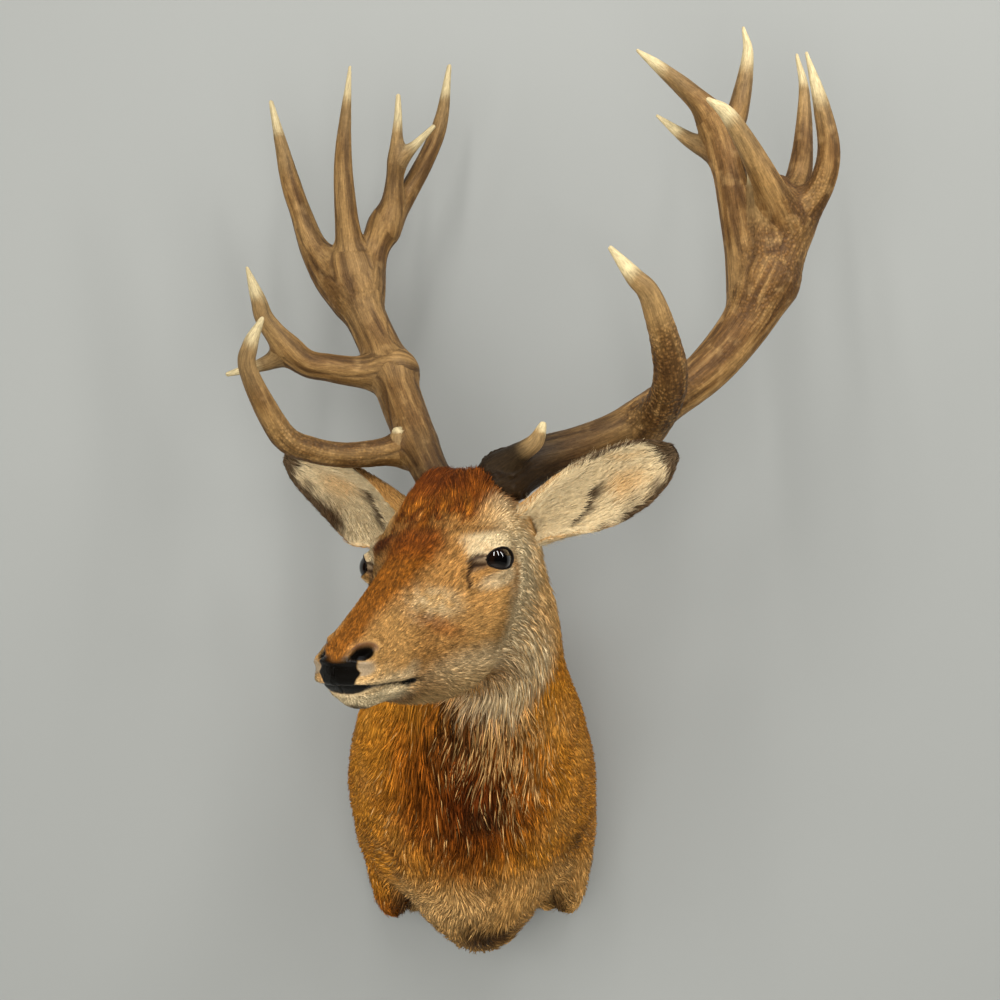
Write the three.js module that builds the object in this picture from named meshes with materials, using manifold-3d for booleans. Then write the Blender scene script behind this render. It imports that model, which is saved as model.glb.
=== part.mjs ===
// Red deer stag shoulder mount, life size, on a hidden backboard that hangs flat on a wall.
//
// Frame, in millimetres: +Z up, +X to the right of someone who faces the mount, and the wall in the plane
// y = 0 with the deer in front of it, towards -y. The origin is the centre of the backboard's back face.
// "forward" is the distance from the wall, which is -y. The stag turns its head to its own right (-X).

import * as THREE from 'three';
import { mergeVertices } from 'three/addons/utils/BufferGeometryUtils.js';
import Module from 'manifold-3d';

const wasm = await Module();
wasm.setup();

// ---------------------------------------------------------------- driving dimensions

const JOINT_GAP = 0.4; // between two pieces that touch
const COAT_GAP = 0.9; // between the coat and what stands out of it
const BOARD_THICKNESS = 18;
const BOARD_GAP = 0.6; // between the board and the trunk that wraps round it
const BOARD_INSET = 14; // the board's edge lies this far inside the coat

const HEAD_YAW = THREE.MathUtils.degToRad(28);
const HEAD_PITCH = THREE.MathUtils.degToRad(6);
const NECK_PIVOT = 351; // forward distance of the upright axis that the neck bends about
const BETWEEN_EYES = { forward: 441, height: 318 }; // origin of the head's own frame, head straight

const RING_SIDES = 26;
const TRUNK_STEPS = 2; // rings for each station of the trunk and neck
const HEAD_STEPS = 2.6; // rings for each station of the head

const UPPER_POWER = 2.4; // the upper half of a cross-section is a superellipse of this power
const WIDTH_LEVEL = 0.72; // share of the half height at which the upper and lower half widths hold

// Stations of the trunk and neck, from the wall to the nape. Top and bottom are [forward, height] in the
// median plane; the three half widths are at the upper level, the middle and the lower level; power is the
// lower half's superellipse power, yaw is the share of the head's turn, and shift moves the section along X.
const BODY_STATIONS = [
  { top: [4, 178], bottom: [4, -112], widths: [84, 136, 140], power: 3.6, yaw: 0, shift: 0 },
  { top: [40, 200], bottom: [55, -122], widths: [90, 153, 150], power: 3.6, yaw: 0, shift: 0 },
  { top: [80, 222], bottom: [118, -128], widths: [95, 161, 144], power: 3.2, yaw: 0, shift: -2 },
  { top: [120, 246], bottom: [182, -118], widths: [95, 162, 124], power: 2.8, yaw: 0, shift: -5 },
  { top: [160, 270], bottom: [248, -86], widths: [90, 154, 108], power: 2.5, yaw: 0.02, shift: -8 },
  { top: [200, 295], bottom: [290, -28], widths: [80, 140, 94], power: 2.4, yaw: 0.08, shift: -11 },
  { top: [240, 320], bottom: [314, 40], widths: [69, 122, 86], power: 2.4, yaw: 0.2, shift: -10 },
  { top: [280, 343], bottom: [330, 105], widths: [63, 107, 79], power: 2.4, yaw: 0.42, shift: -5 },
  { top: [315, 364], bottom: [345, 152], widths: [60, 98, 72], power: 2.4, yaw: 0.7, shift: 3 },
  { top: [343, 386], bottom: [362, 182], widths: [60, 92, 64], power: 2.4, yaw: 0.92, shift: 4 },
];

// Stations of the head, from the poll to the nose, as [forward, up] of the head's own frame.
const HEAD_STATIONS = [
  { top: [-74, 94], bottom: [-38, -143], widths: [60, 89, 55] },
  { top: [-42, 98], bottom: [-18, -148], widths: [62, 90, 52] },
  { top: [-6, 78], bottom: [8, -146], widths: [64, 88, 49] },
  { top: [28, 50], bottom: [37, -140], widths: [52, 74, 45] },
  { top: [64, 23], bottom: [66, -133], widths: [36, 58, 40] },
  { top: [100, 3], bottom: [97, -129], widths: [29, 48, 35] },
  { top: [135, -17], bottom: [128, -129], widths: [27, 42, 32] },
  { top: [165, -35], bottom: [155, -131], widths: [28, 39, 30] },
  { top: [188, -48], bottom: [178, -132], widths: [28, 39, 27] },
  { top: [205, -58], bottom: [193, -127], widths: [26, 36, 24] },
  { top: [215, -68], bottom: [204, -119], widths: [20, 29, 18] },
  { top: [220, -80], bottom: [211, -107], widths: [12, 18, 11] },
  { top: [222, -89], bottom: [217, -99], widths: [3, 5, 3] },
];

// Where the named lengths of the body begin and end, counted in stations from the wall.
const TRUNK_END = 4.5;
const NECK_END = 9.8;
const HEAD_END = 14.5;
const BODY_END = 22;
const STATION_GAP = 0.012; // half of a cut's width, in stations

// The brisket hangs below the trunk's underside as a soft ridge, [forward, depth].
const BRISKET_DEPTH = [[0, 24], [30, 44], [60, 58], [125, 72], [195, 56], [255, 24], [300, 0]];
const BRISKET_HALF_WIDTH = 73;
const BRISKET_SIDE = 7; // its ridge runs this far to the deer's left of the middle
const BRISKET_POWER = 2.6;
const UNDERSIDE_LEVELS = [0.15, 0.8]; // it starts at the first level below the middle, full at the second

const STUMP = { x: 122, shift: 5, forward: 62, z: -117, radii: [29, 48, 50] };

const EYE = { side: 77, up: 4, radius: 17 };
const EYE_SOCKET = { depth: 9, forward: 26, up: 17 };

// The mouth line and the back of the nose pad, as [forward, up] of the head's own frame.
const MOUTH_LINE = [[128, -116], [205, -106]];
const NOSE_LINE = [[190, -48], [208, -106]];

const EAR = {
  // Base and tip of each ear, as forward, outward and up in the head's own frame, by its side's sign.
  base: { 1: [-96, 90, 38], [-1]: [-96, 89, 28] },
  tip: { 1: [-92, 256, 113], [-1]: [-92, 266, 110] },
  facing: [1, 0.25, -0.15],
  halfWidth: 40,
  outline: [
    [0, 0.55], [0.12, 0.76], [0.3, 0.96], [0.5, 1.02], [0.7, 0.94], [0.85, 0.76], [0.95, 0.46], [1, 0.06],
  ],
  curl: [[0, 125], [0.2, 95], [0.5, 62], [1, 35]], // degrees each side of the middle line
  sweep: 8, // how far the middle bows backwards
  setBack: 10,
  rootThickness: 9,
  tipThickness: 3,
  rootDepth: 0.2, // share of its length that the ear starts inside the head
  lengthSteps: 10,
  widthSteps: 7,
};

// Antlers. A run is a list of control points [x, forward, z, radius]; each run is cut clear of the ones
// before it, so a tine starts inside the beam or palm that it grows from.
const ANTLER_SIDES = 8;
const ANTLER_STEPS = 2; // rings for each control point
const LEFT_ANTLER = {
  left_beam: [
    [30, 378, 413, 36], [65, 368, 430, 30], [114, 352, 446, 27], [169, 338, 468, 25],
    [224, 326, 504, 25], [275, 314, 546, 26], [319, 302, 600, 31], [348, 292, 656, 40],
  ],
  left_palm: [[348, 292, 656, 36], [370, 286, 700, 29], [386, 284, 730, 24]],
  left_crown_stem: [[332, 292, 644, 30], [321, 284, 705, 24], [301, 274, 811, 19], [286, 272, 850, 17]],
  left_brow_tine: [[30, 392, 427, 15], [50, 412, 443, 13], [68, 428, 455, 11], [77, 436, 475, 5]],
  left_bez_tine: [
    [203, 345, 477, 26], [219, 385, 501, 22], [222, 430, 539, 19], [197, 486, 608, 13],
    [176, 500, 632, 10], [150, 512, 661, 3],
  ],
  left_tine_inner: [[289, 272, 842, 17], [271, 276, 868, 14], [224, 290, 905, 8], [194, 300, 925, 2]],
  left_tine_spur: [[298, 272, 801, 12], [261, 248, 828, 9], [223, 238, 859, 2]],
  left_tine_upright: [[308, 270, 833, 16], [321, 254, 866, 13], [334, 238, 933, 7], [329, 234, 968, 2]],
  left_tine_front: [[372, 296, 716, 23], [348, 330, 756, 18], [298, 372, 828, 10], [270, 384, 849, 3]],
  left_tine_back: [[372, 280, 742, 18], [395, 258, 789, 15], [403, 240, 883, 7], [394, 238, 934, 2]],
  left_tine_outer: [
    [388, 286, 729, 22], [415, 300, 761, 17], [426, 310, 802, 14], [418, 316, 853, 10], [399, 320, 917, 2],
  ],
};
const RIGHT_ANTLER = {
  right_beam: [
    [-46, 348, 415, 22], [-75, 276, 483, 26], [-102, 222, 551, 27], [-138, 186, 621, 28],
    [-152, 176, 652, 34], [-158, 170, 678, 38],
  ],
  right_crown_stem: [[-141, 176, 650, 25], [-130, 162, 697, 20], [-116, 154, 739, 18]],
  right_brow_tine: [
    [-73, 300, 450, 20], [-108, 312, 445, 17], [-153, 328, 441, 15], [-192, 346, 447, 15],
    [-224, 364, 465, 15], [-257, 396, 534, 11], [-255, 404, 564, 9], [-241, 408, 594, 3],
  ],
  right_trez_tine: [
    [-96, 228, 546, 27], [-137, 232, 545, 20], [-178, 240, 550, 17], [-213, 248, 559, 16],
    [-252, 262, 602, 12], [-263, 270, 632, 9], [-275, 278, 668, 2],
  ],
  right_trez_fork: [[-229, 250, 569, 13], [-256, 246, 555, 9], [-303, 243, 542, 3]],
  right_tine_outer: [
    [-154, 176, 642, 31], [-182, 168, 672, 26], [-208, 160, 710, 19], [-225, 156, 753, 15],
    [-239, 157, 796, 13], [-260, 168, 894, 3],
  ],
  right_tine_middle: [[-146, 174, 660, 25], [-159, 176, 705, 17], [-164, 192, 813, 11], [-154, 202, 931, 2]],
  right_tine_short: [[-115, 156, 731, 16], [-106, 160, 773, 12], [-96, 174, 857, 6], [-97, 178, 899, 3]],
  right_tine_spur: [[-96, 168, 820, 10], [-80, 172, 837, 6], [-54, 180, 862, 3]],
  right_tine_inner: [[-115, 154, 736, 18], [-88, 138, 779, 13], [-46, 124, 861, 10], [-33, 130, 947, 3]],
};

const FINISHES = {
  coat: { color: 0x8a5a32, roughness: 0.85, metalness: 0 },
  throat: { color: 0x9c7850, roughness: 0.85, metalness: 0 },
  face: { color: 0xa07c54, roughness: 0.8, metalness: 0 },
  nose: { color: 0x191614, roughness: 0.3, metalness: 0 },
  chin: { color: 0xcfc1a4, roughness: 0.8, metalness: 0 },
  ear: { color: 0xbca583, roughness: 0.85, metalness: 0 },
  eye: { color: 0x0b0807, roughness: 0.05, metalness: 0 },
  antler: { color: 0x6f543a, roughness: 0.55, metalness: 0 },
  plywood: { color: 0xb99a6b, roughness: 0.7, metalness: 0 },
};

// ---------------------------------------------------------------- small mathematics

/** Straight-line lookup in a list of [x, y] pairs that rise in x. */
function lookup(pairs, x) {
  const last = pairs.length - 1;
  if (x <= pairs[0][0]) return pairs[0][1];
  if (x >= pairs[last][0]) return pairs[last][1];
  const i = pairs.findIndex(([start], k) => x >= start && x < pairs[k + 1][0]);
  const share = (x - pairs[i][0]) / (pairs[i + 1][0] - pairs[i][0]);
  return THREE.MathUtils.lerp(pairs[i][1], pairs[i + 1][1], share);
}

/** Catmull-Rom value at t of rows of equal length, with one-sided slopes at both ends. */
function splineRow(rows, t) {
  const last = rows.length - 1;
  const i = Math.min(Math.floor(t), last - 1);
  const u = t - i;
  const slope = (k, column) => {
    if (k === 0) return rows[1][column] - rows[0][column];
    if (k === last) return rows[last][column] - rows[last - 1][column];
    return (rows[k + 1][column] - rows[k - 1][column]) / 2;
  };
  return rows[i].map((value, column) =>
    (2 * u ** 3 - 3 * u ** 2 + 1) * value
    + (u ** 3 - 2 * u ** 2 + u) * slope(i, column)
    + (3 * u ** 2 - 2 * u ** 3) * rows[i + 1][column]
    + (u ** 3 - u ** 2) * slope(i + 1, column));
}

// ---------------------------------------------------------------- the head's own frame

/** Forward distance and height of a point [forward, up] of the head's frame, head straight. */
function headProfile([forward, up]) {
  return [
    BETWEEN_EYES.forward + forward * Math.cos(HEAD_PITCH) + up * Math.sin(HEAD_PITCH),
    BETWEEN_EYES.height - forward * Math.sin(HEAD_PITCH) + up * Math.cos(HEAD_PITCH),
  ];
}

/** Turns a straight point about the neck's upright axis by a share of the head's yaw. */
function turned(forward, side, height, share) {
  const angle = HEAD_YAW * share;
  const reach = forward - NECK_PIVOT;
  return new THREE.Vector3(
    side * Math.cos(angle) - reach * Math.sin(angle),
    -NECK_PIVOT - reach * Math.cos(angle) - side * Math.sin(angle),
    height,
  );
}

/** A point of the head's own frame (forward, outward to the deer's left, up) in the mount's frame. */
function headPoint(forward, side, up) {
  const [straightForward, height] = headProfile([forward, up]);
  return turned(straightForward, side, height, 1);
}

// ---------------------------------------------------------------- body sections

const STATION_ROWS = [
  ...BODY_STATIONS.map((s) => [...s.top, ...s.bottom, ...s.widths, s.power, s.yaw, s.shift]),
  ...HEAD_STATIONS.map((s) => [
    ...headProfile(s.top), ...headProfile(s.bottom), ...s.widths, UPPER_POWER, 1, 0,
  ]),
];

/** How far the brisket hangs below the plain underside at one place. */
function brisketDrop(forward, side, level) {
  const under = THREE.MathUtils.smoothstep(-level, ...UNDERSIDE_LEVELS);
  const across = Math.exp(-((Math.abs(side - BRISKET_SIDE) / BRISKET_HALF_WIDTH) ** BRISKET_POWER));
  return under * across * lookup(BRISKET_DEPTH, forward);
}

/** How far the face sinks in round an eye. */
function socketDepth(forward, height) {
  const [eyeForward, eyeHeight] = headProfile([0, EYE.up]);
  const alongFace = (forward - eyeForward) / EYE_SOCKET.forward;
  const upFace = (height - eyeHeight) / EYE_SOCKET.up;
  return EYE_SOCKET.depth * Math.exp(-(alongFace ** 2) - upFace ** 2);
}

/** Half width of a unit superellipse at a level from -1 to 1. */
function superellipse(level, power) {
  return (1 - Math.min(1, Math.abs(level)) ** power) ** (1 / power);
}

/** One point of the coat's outer surface: station t, and angle round the section from its top. */
function bodyPoint(t, angle) {
  const [topForward, topHeight, bottomForward, bottomHeight, upper, middle, lower, lowerPower, yaw, shift] =
    splineRow(STATION_ROWS, t);
  const power = Math.cos(angle) > 0 ? UPPER_POWER : lowerPower;
  const reach = (Math.abs(Math.cos(angle)) ** power + Math.abs(Math.sin(angle)) ** power) ** (-1 / power);
  const level = Math.cos(angle) * reach;
  const forward = (topForward + bottomForward) / 2 + ((topForward - bottomForward) / 2) * level;
  const height = (topHeight + bottomHeight) / 2 + ((topHeight - bottomHeight) / 2) * level;
  const upperFactor = upper / middle / superellipse(WIDTH_LEVEL, UPPER_POWER);
  const lowerFactor = lower / middle / superellipse(WIDTH_LEVEL, lowerPower);
  const x = level / WIDTH_LEVEL;
  const fullness = 1 + ((upperFactor - lowerFactor) / 2) * x + ((upperFactor + lowerFactor) / 2 - 1) * x * x;
  const out = Math.abs(Math.sin(angle)) * reach * middle * Math.min(2, Math.max(0.2, fullness));
  const side = Math.sign(Math.sin(angle)) * Math.max(0, out - socketDepth(forward, height));
  const point = turned(forward, side, height, yaw);
  point.x += shift;
  point.z -= t < TRUNK_END + 2 ? brisketDrop(forward, side, level) : 0;
  return point;
}

// ---------------------------------------------------------------- closed surfaces

/** Closed body through rings of equal size, with a flat fan over the first and the last ring. */
function loft(rings) {
  const sides = rings[0].length;
  const centre = (ring) => ring.reduce((sum, p) => sum.add(p), new THREE.Vector3()).divideScalar(sides);
  const points = [...rings.flat(), centre(rings[0]), centre(rings[rings.length - 1])];
  const first = points.length - 2;
  const last = points.length - 1;
  const index = [];
  for (let j = 0; j < sides; j++) {
    const k = (j + 1) % sides;
    index.push(first, k, j);
    for (let i = 0; i + 1 < rings.length; i++) {
      const a = i * sides;
      const b = a + sides;
      index.push(a + j, a + k, b + k, a + j, b + k, b + j);
    }
    const end = (rings.length - 1) * sides;
    index.push(last, end + j, end + k);
  }
  return outward(surface(points, index));
}

/** Indexed geometry from a list of vectors and a list of corner numbers. */
function surface(points, index) {
  const geometry = new THREE.BufferGeometry().setFromPoints(points);
  geometry.setIndex(index);
  return geometry;
}

/** Turns every face round when the geometry encloses a negative volume. */
function outward(geometry) {
  const index = geometry.index.array;
  const position = geometry.attributes.position;
  const corner = (i) => new THREE.Vector3().fromBufferAttribute(position, index[i]);
  let volume = 0;
  for (let i = 0; i < index.length; i += 3) {
    volume += corner(i).dot(corner(i + 1).cross(corner(i + 2)));
  }
  if (volume < 0) {
    for (let i = 0; i < index.length; i += 3) [index[i], index[i + 1]] = [index[i + 1], index[i]];
  }
  return geometry;
}

/** Solid of a closed geometry, its shared corners merged. */
function solid(geometry) {
  const plain = geometry.clone();
  plain.deleteAttribute('normal');
  plain.deleteAttribute('uv');
  const merged = mergeVertices(plain, 1e-3);
  return new wasm.Manifold(new wasm.Mesh({
    numProp: 3,
    vertProperties: new Float32Array(merged.attributes.position.array),
    triVerts: new Uint32Array(merged.index.array),
  }));
}

/** Geometry of a solid's largest piece, so that no loose sliver stays with it. */
function geometryOf(body) {
  const pieces = body.decompose().sort((a, b) => b.volume() - a.volume());
  const mesh = pieces[0].getMesh();
  const geometry = new THREE.BufferGeometry();
  geometry.setAttribute('position', new THREE.BufferAttribute(new Float32Array(mesh.vertProperties), 3));
  geometry.setIndex([...mesh.triVerts]);
  return geometry;
}

/** The same geometry with every corner moved out along its normal. */
function swollen(geometry, amount) {
  const grown = geometry.clone();
  grown.computeVertexNormals();
  const { position, normal } = grown.attributes;
  for (let i = 0; i < position.count; i++) {
    position.setXYZ(
      i,
      position.getX(i) + normal.getX(i) * amount,
      position.getY(i) + normal.getY(i) * amount,
      position.getZ(i) + normal.getZ(i) * amount,
    );
  }
  grown.deleteAttribute('normal');
  return grown;
}

// ---------------------------------------------------------------- the pieces of the body

/** Rings round the body between two stations. */
function bodyRings(from, to, stepsPerStation) {
  const start = from === 0 ? 0 : from + STATION_GAP;
  const end = to === BODY_END ? to : to - STATION_GAP;
  const steps = Math.ceil((end - start) * stepsPerStation);
  const rings = [];
  for (let i = 0; i <= steps; i++) {
    const t = start + ((end - start) * i) / steps;
    const ring = [];
    for (let j = 0; j < RING_SIDES; j++) ring.push(bodyPoint(t, (2 * Math.PI * j) / RING_SIDES));
    rings.push(ring);
  }
  return rings;
}

/** Large block on one side of a plane through the head, given by two [forward, up] points of its line. */
function headHalfSpace([[f0, u0], [f1, u1]], above) {
  const size = 900;
  const origin = headPoint(f0, 0, u0);
  const along = headPoint(f1, 0, u1).sub(origin).normalize();
  const across = headPoint(f0, 1, u0).sub(origin).normalize();
  const up = new THREE.Vector3().crossVectors(across, along).normalize();
  if (up.z < 0) up.negate();
  const direction = above ? up : up.clone().negate();
  const third = new THREE.Vector3().crossVectors(direction, along);
  const placed = new THREE.Matrix4().makeBasis(along, third, direction);
  placed.setPosition(origin.addScaledVector(direction, size / 2 + JOINT_GAP / 2));
  return solid(new THREE.BoxGeometry(size, size, size).applyMatrix4(placed));
}

/** Eyeball, swollen by the given amount. */
function eyeball(sign, swell = 0) {
  const ball = new THREE.SphereGeometry(EYE.radius + swell, 12, 8);
  const place = headPoint(0, sign * EYE.side, EYE.up);
  return ball.translate(place.x, place.y, place.z);
}

/** Remains of one foreleg where the skin is closed below the shoulder. */
function legStump(sign) {
  const ball = new THREE.SphereGeometry(1, 14, 10);
  ball.scale(...STUMP.radii);
  return ball.translate(sign * STUMP.x + STUMP.shift, -STUMP.forward, STUMP.z);
}

/** Cupped leaf of one ear as a closed shell that thins towards its tip. */
function ear(sign) {
  const base = new THREE.Vector3(...EAR.base[sign]);
  const along = new THREE.Vector3(...EAR.tip[sign]).sub(base);
  const length = along.length();
  along.normalize();
  const facing = new THREE.Vector3(...EAR.facing);
  facing.addScaledVector(along, -along.dot(facing)).normalize();
  const width = new THREE.Vector3().crossVectors(along, facing);

  const leafPoint = (u, v, thickness) => {
    const half = EAR.halfWidth * lookup(EAR.outline, u);
    const curl = THREE.MathUtils.degToRad(lookup(EAR.curl, u));
    const radius = curl > Math.PI / 2 ? half : half / Math.sin(curl);
    const angle = v * curl;
    const reach = radius + thickness;
    const sweep = EAR.sweep * Math.sin(Math.PI * Math.max(0, u));
    const depth = radius - reach * Math.cos(angle) - sweep - EAR.setBack;
    const p = base.clone()
      .addScaledVector(along, u * length)
      .addScaledVector(width, reach * Math.sin(angle))
      .addScaledVector(facing, depth);
    return headPoint(p.x, sign * p.y, p.z);
  };

  const rings = [];
  for (let i = 0; i <= EAR.lengthSteps; i++) {
    const u = THREE.MathUtils.lerp(-EAR.rootDepth, 1, i / EAR.lengthSteps);
    const thickness = THREE.MathUtils.lerp(EAR.rootThickness, EAR.tipThickness, Math.max(0, u));
    const across = [];
    for (let j = 0; j <= EAR.widthSteps; j++) across.push((2 * j) / EAR.widthSteps - 1);
    const inner = across.map((v) => leafPoint(u, v, 0));
    const outer = across.map((v) => leafPoint(u, v, thickness)).reverse();
    rings.push([...inner, ...outer]);
  }
  const points = rings.flat();
  const sides = rings[0].length;
  const index = [];
  for (let i = 0; i + 1 < rings.length; i++) {
    for (let j = 0; j < sides; j++) {
      const a = i * sides + j;
      const b = i * sides + ((j + 1) % sides);
      index.push(a, b, b + sides, a, b + sides, a + sides);
    }
  }
  const capStrip = (start, flip) => {
    for (let j = 0; j < EAR.widthSteps; j++) {
      const [a, b, c, d] = [start + j, start + j + 1, start + sides - 2 - j, start + sides - 1 - j];
      index.push(...(flip ? [a, b, c, a, c, d] : [a, c, b, a, d, c]));
    }
  };
  capStrip(0, false);
  capStrip((rings.length - 1) * sides, true);
  return outward(surface(points, index));
}

/** Tapering eight-sided run through its control points. */
function antlerRun(controls, swell = 0) {
  const curve = new THREE.CatmullRomCurve3(
    controls.map(([x, forward, z]) => new THREE.Vector3(x, -forward, z)), false, 'catmullrom', 0.5);
  const steps = ANTLER_STEPS * (controls.length - 1);
  const radii = controls.map(([, , , radius]) => [radius]);
  const rings = [];
  let normal = new THREE.Vector3(0, 1, 0);
  for (let i = 0; i <= steps; i++) {
    const share = i / steps;
    const centre = curve.getPoint(share);
    const tangent = curve.getTangent(share);
    normal = normal.clone().addScaledVector(tangent, -tangent.dot(normal)).normalize();
    const binormal = new THREE.Vector3().crossVectors(tangent, normal);
    if (i === 0) centre.addScaledVector(tangent, -swell);
    if (i === steps) centre.addScaledVector(tangent, swell);
    const radius = splineRow(radii, share * (controls.length - 1))[0] + swell;
    const ring = [];
    for (let j = 0; j < ANTLER_SIDES; j++) {
      const angle = (2 * Math.PI * (j + 0.5)) / ANTLER_SIDES;
      ring.push(centre.clone()
        .addScaledVector(normal, radius * Math.cos(angle))
        .addScaledVector(binormal, radius * Math.sin(angle)));
    }
    rings.push(ring);
  }
  return loft(rings);
}

/** Board that closes the back of the trunk: the trunk's own section, drawn in all round. */
function backboard(swell = 0) {
  const shape = new THREE.Shape();
  for (let j = 0; j < RING_SIDES; j++) {
    const p = bodyPoint(0, (2 * Math.PI * j) / RING_SIDES);
    const size = Math.hypot(p.x, p.z);
    const share = (size - BOARD_INSET + swell) / size;
    if (j === 0) shape.moveTo(p.x * share, p.z * share);
    else shape.lineTo(p.x * share, p.z * share);
  }
  const board = new THREE.ExtrudeGeometry(shape, { depth: BOARD_THICKNESS + 2 * swell, bevelEnabled: false });
  return board.translate(0, 0, -swell).rotateX(Math.PI / 2);
}

// ---------------------------------------------------------------- assembly

const mount = new THREE.Group();

/** Adds one named piece with its own material. */
function add(name, geometry, finish) {
  const mesh = new THREE.Mesh(geometry, new THREE.MeshStandardMaterial(FINISHES[finish]));
  mesh.name = name;
  mount.add(mesh);
}

const trunkRings = bodyRings(0, TRUNK_END, TRUNK_STEPS);
const neckRings = bodyRings(TRUNK_END, NECK_END, TRUNK_STEPS);
const headRings = bodyRings(NECK_END, HEAD_END, HEAD_STEPS);
const muzzleRings = bodyRings(HEAD_END, BODY_END, TRUNK_STEPS);

add('backboard', backboard(), 'plywood');
add('trunk', geometryOf(solid(loft(trunkRings)).subtract(solid(backboard(BOARD_GAP)))), 'coat');
add('neck', loft(neckRings), 'throat');

// The head with both eye sockets hollowed out, and the eyes in them.
let head = solid(loft(headRings));
for (const [sign, side] of [[1, 'left'], [-1, 'right']]) {
  head = head.subtract(solid(eyeball(sign, JOINT_GAP)));
  add(`${side}_eye`, eyeball(sign), 'eye');
}
add('head', geometryOf(head), 'face');

// The muzzle, parted along the mouth line and behind the nose pad.
const muzzle = solid(loft(muzzleRings));
const aboveMouth = muzzle.intersect(headHalfSpace(MOUTH_LINE, true));
add('lower_jaw', geometryOf(muzzle.intersect(headHalfSpace(MOUTH_LINE, false))), 'chin');
add('muzzle', geometryOf(aboveMouth.intersect(headHalfSpace(NOSE_LINE, false))), 'face');
add('nose_pad', geometryOf(aboveMouth.intersect(headHalfSpace(NOSE_LINE, true))), 'nose');

// Each antler run is cut clear of the coat and of the runs before it.
const wholeBody = loft([...trunkRings, ...neckRings, ...headRings, ...muzzleRings]);
const clearOfCoat = solid(swollen(wholeBody, COAT_GAP));
for (const antler of [LEFT_ANTLER, RIGHT_ANTLER]) {
  const earlier = [clearOfCoat];
  for (const [name, controls] of Object.entries(antler)) {
    let run = solid(antlerRun(controls));
    for (const other of earlier) run = run.subtract(other);
    add(name, geometryOf(run), 'antler');
    earlier.push(solid(antlerRun(controls, JOINT_GAP)));
  }
}

for (const [sign, side, beam] of [
  [1, 'left', LEFT_ANTLER.left_beam],
  [-1, 'right', RIGHT_ANTLER.right_beam],
]) {
  let leaf = solid(ear(sign));
  for (const other of [clearOfCoat, solid(antlerRun(beam, JOINT_GAP))]) leaf = leaf.subtract(other);
  add(`${side}_ear`, geometryOf(leaf), 'ear');
  const stump = solid(legStump(sign)).subtract(clearOfCoat);
  add(`${side}_leg_stump`, geometryOf(stump), 'coat');
}

export default mount;
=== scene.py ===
"""Red deer stag shoulder mount: skin, coat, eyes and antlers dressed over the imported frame.

Lengths are millimetres until a mesh is made. "forward" is the distance from the wall, which is -Y; the
deer's left is the viewer's right, +X. The head has a frame of its own: forward, side (to the deer's left)
and up, with its origin between the eyes.
"""

import logging
import math
from dataclasses import dataclass, field
from enum import Enum
from typing import Callable, Dict, List, Sequence, Tuple

import bpy
import numpy as np
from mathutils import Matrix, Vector


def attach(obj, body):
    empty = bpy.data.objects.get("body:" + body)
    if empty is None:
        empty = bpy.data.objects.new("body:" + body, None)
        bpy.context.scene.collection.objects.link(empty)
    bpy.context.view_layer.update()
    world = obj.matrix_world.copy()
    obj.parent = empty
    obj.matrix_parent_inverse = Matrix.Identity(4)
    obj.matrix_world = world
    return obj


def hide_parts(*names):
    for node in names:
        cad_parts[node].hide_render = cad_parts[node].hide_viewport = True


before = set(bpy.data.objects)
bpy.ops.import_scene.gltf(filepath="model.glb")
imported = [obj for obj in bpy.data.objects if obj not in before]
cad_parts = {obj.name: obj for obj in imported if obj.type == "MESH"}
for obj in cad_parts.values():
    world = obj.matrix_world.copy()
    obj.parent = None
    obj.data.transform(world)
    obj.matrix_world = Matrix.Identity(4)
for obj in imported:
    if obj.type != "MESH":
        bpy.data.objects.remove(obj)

Array = np.ndarray
Pair = Tuple[float, float]
Triple = Tuple[float, float, float]
Row = Tuple[float, ...]
Colour = Tuple[int, int, int]
Socket = bpy.types.NodeSocket
Material = bpy.types.Material
Piece = bpy.types.Object
MM = 0.001
EVEN_STEPS = (0.7548776662466927, 0.5698402909980532)  # steps of an evenly spread sequence in two dimensions
ROOT = "root"
LOG = logging.getLogger("stag_mount")


# ---------------------------------------------------------------- small mathematics


def smoothstep(low: float, high: float, x: Array) -> Array:
    """Cubic step 3s^2 - 2s^3, where s is x's share of the way from low to high, kept from 0 to 1."""
    s = np.clip((x - low) / (high - low), 0.0, 1.0)
    return s * s * (3.0 - 2.0 * s)


def fall(low: float, high: float, x: Array) -> Array:
    """Cubic step down: 1 below low and 0 above high."""
    return 1 - smoothstep(low, high, x)


def bump(x: Array, centre: float, width: float) -> Array:
    """Gaussian exp(-((x - centre) / width)^2)."""
    return np.exp(-(((x - centre) / width) ** 2))


def blob(a: Array, b: Array, centre: Pair, radii: Pair) -> Array:
    """Gaussian of two coordinates about a centre."""
    return np.exp(-(((a - centre[0]) / radii[0]) ** 2 + ((b - centre[1]) / radii[1]) ** 2))


def patch(a: Array, b: Array, centre: Pair, radii: Pair, turn: float = 0.0,
          edge: float = 0.35) -> Array:
    """Soft-edged ellipse, 1 inside and 0 outside.

    Args:
        a: First coordinate of each point.
        b: Second coordinate of each point.
        centre: Middle of the ellipse.
        radii: Its two half axes.
        turn: Degrees that the first half axis is turned towards the second coordinate.
        edge: Share of the radius over which it fades.

    Returns:
        The mask, one value for each point.
    """
    c, s = math.cos(math.radians(turn)), math.sin(math.radians(turn))
    da, db = a - centre[0], b - centre[1]
    along, across = (da * c + db * s) / radii[0], (db * c - da * s) / radii[1]
    return 1.0 - smoothstep(1.0 - edge, 1.0 + edge, np.hypot(along, across))


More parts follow.
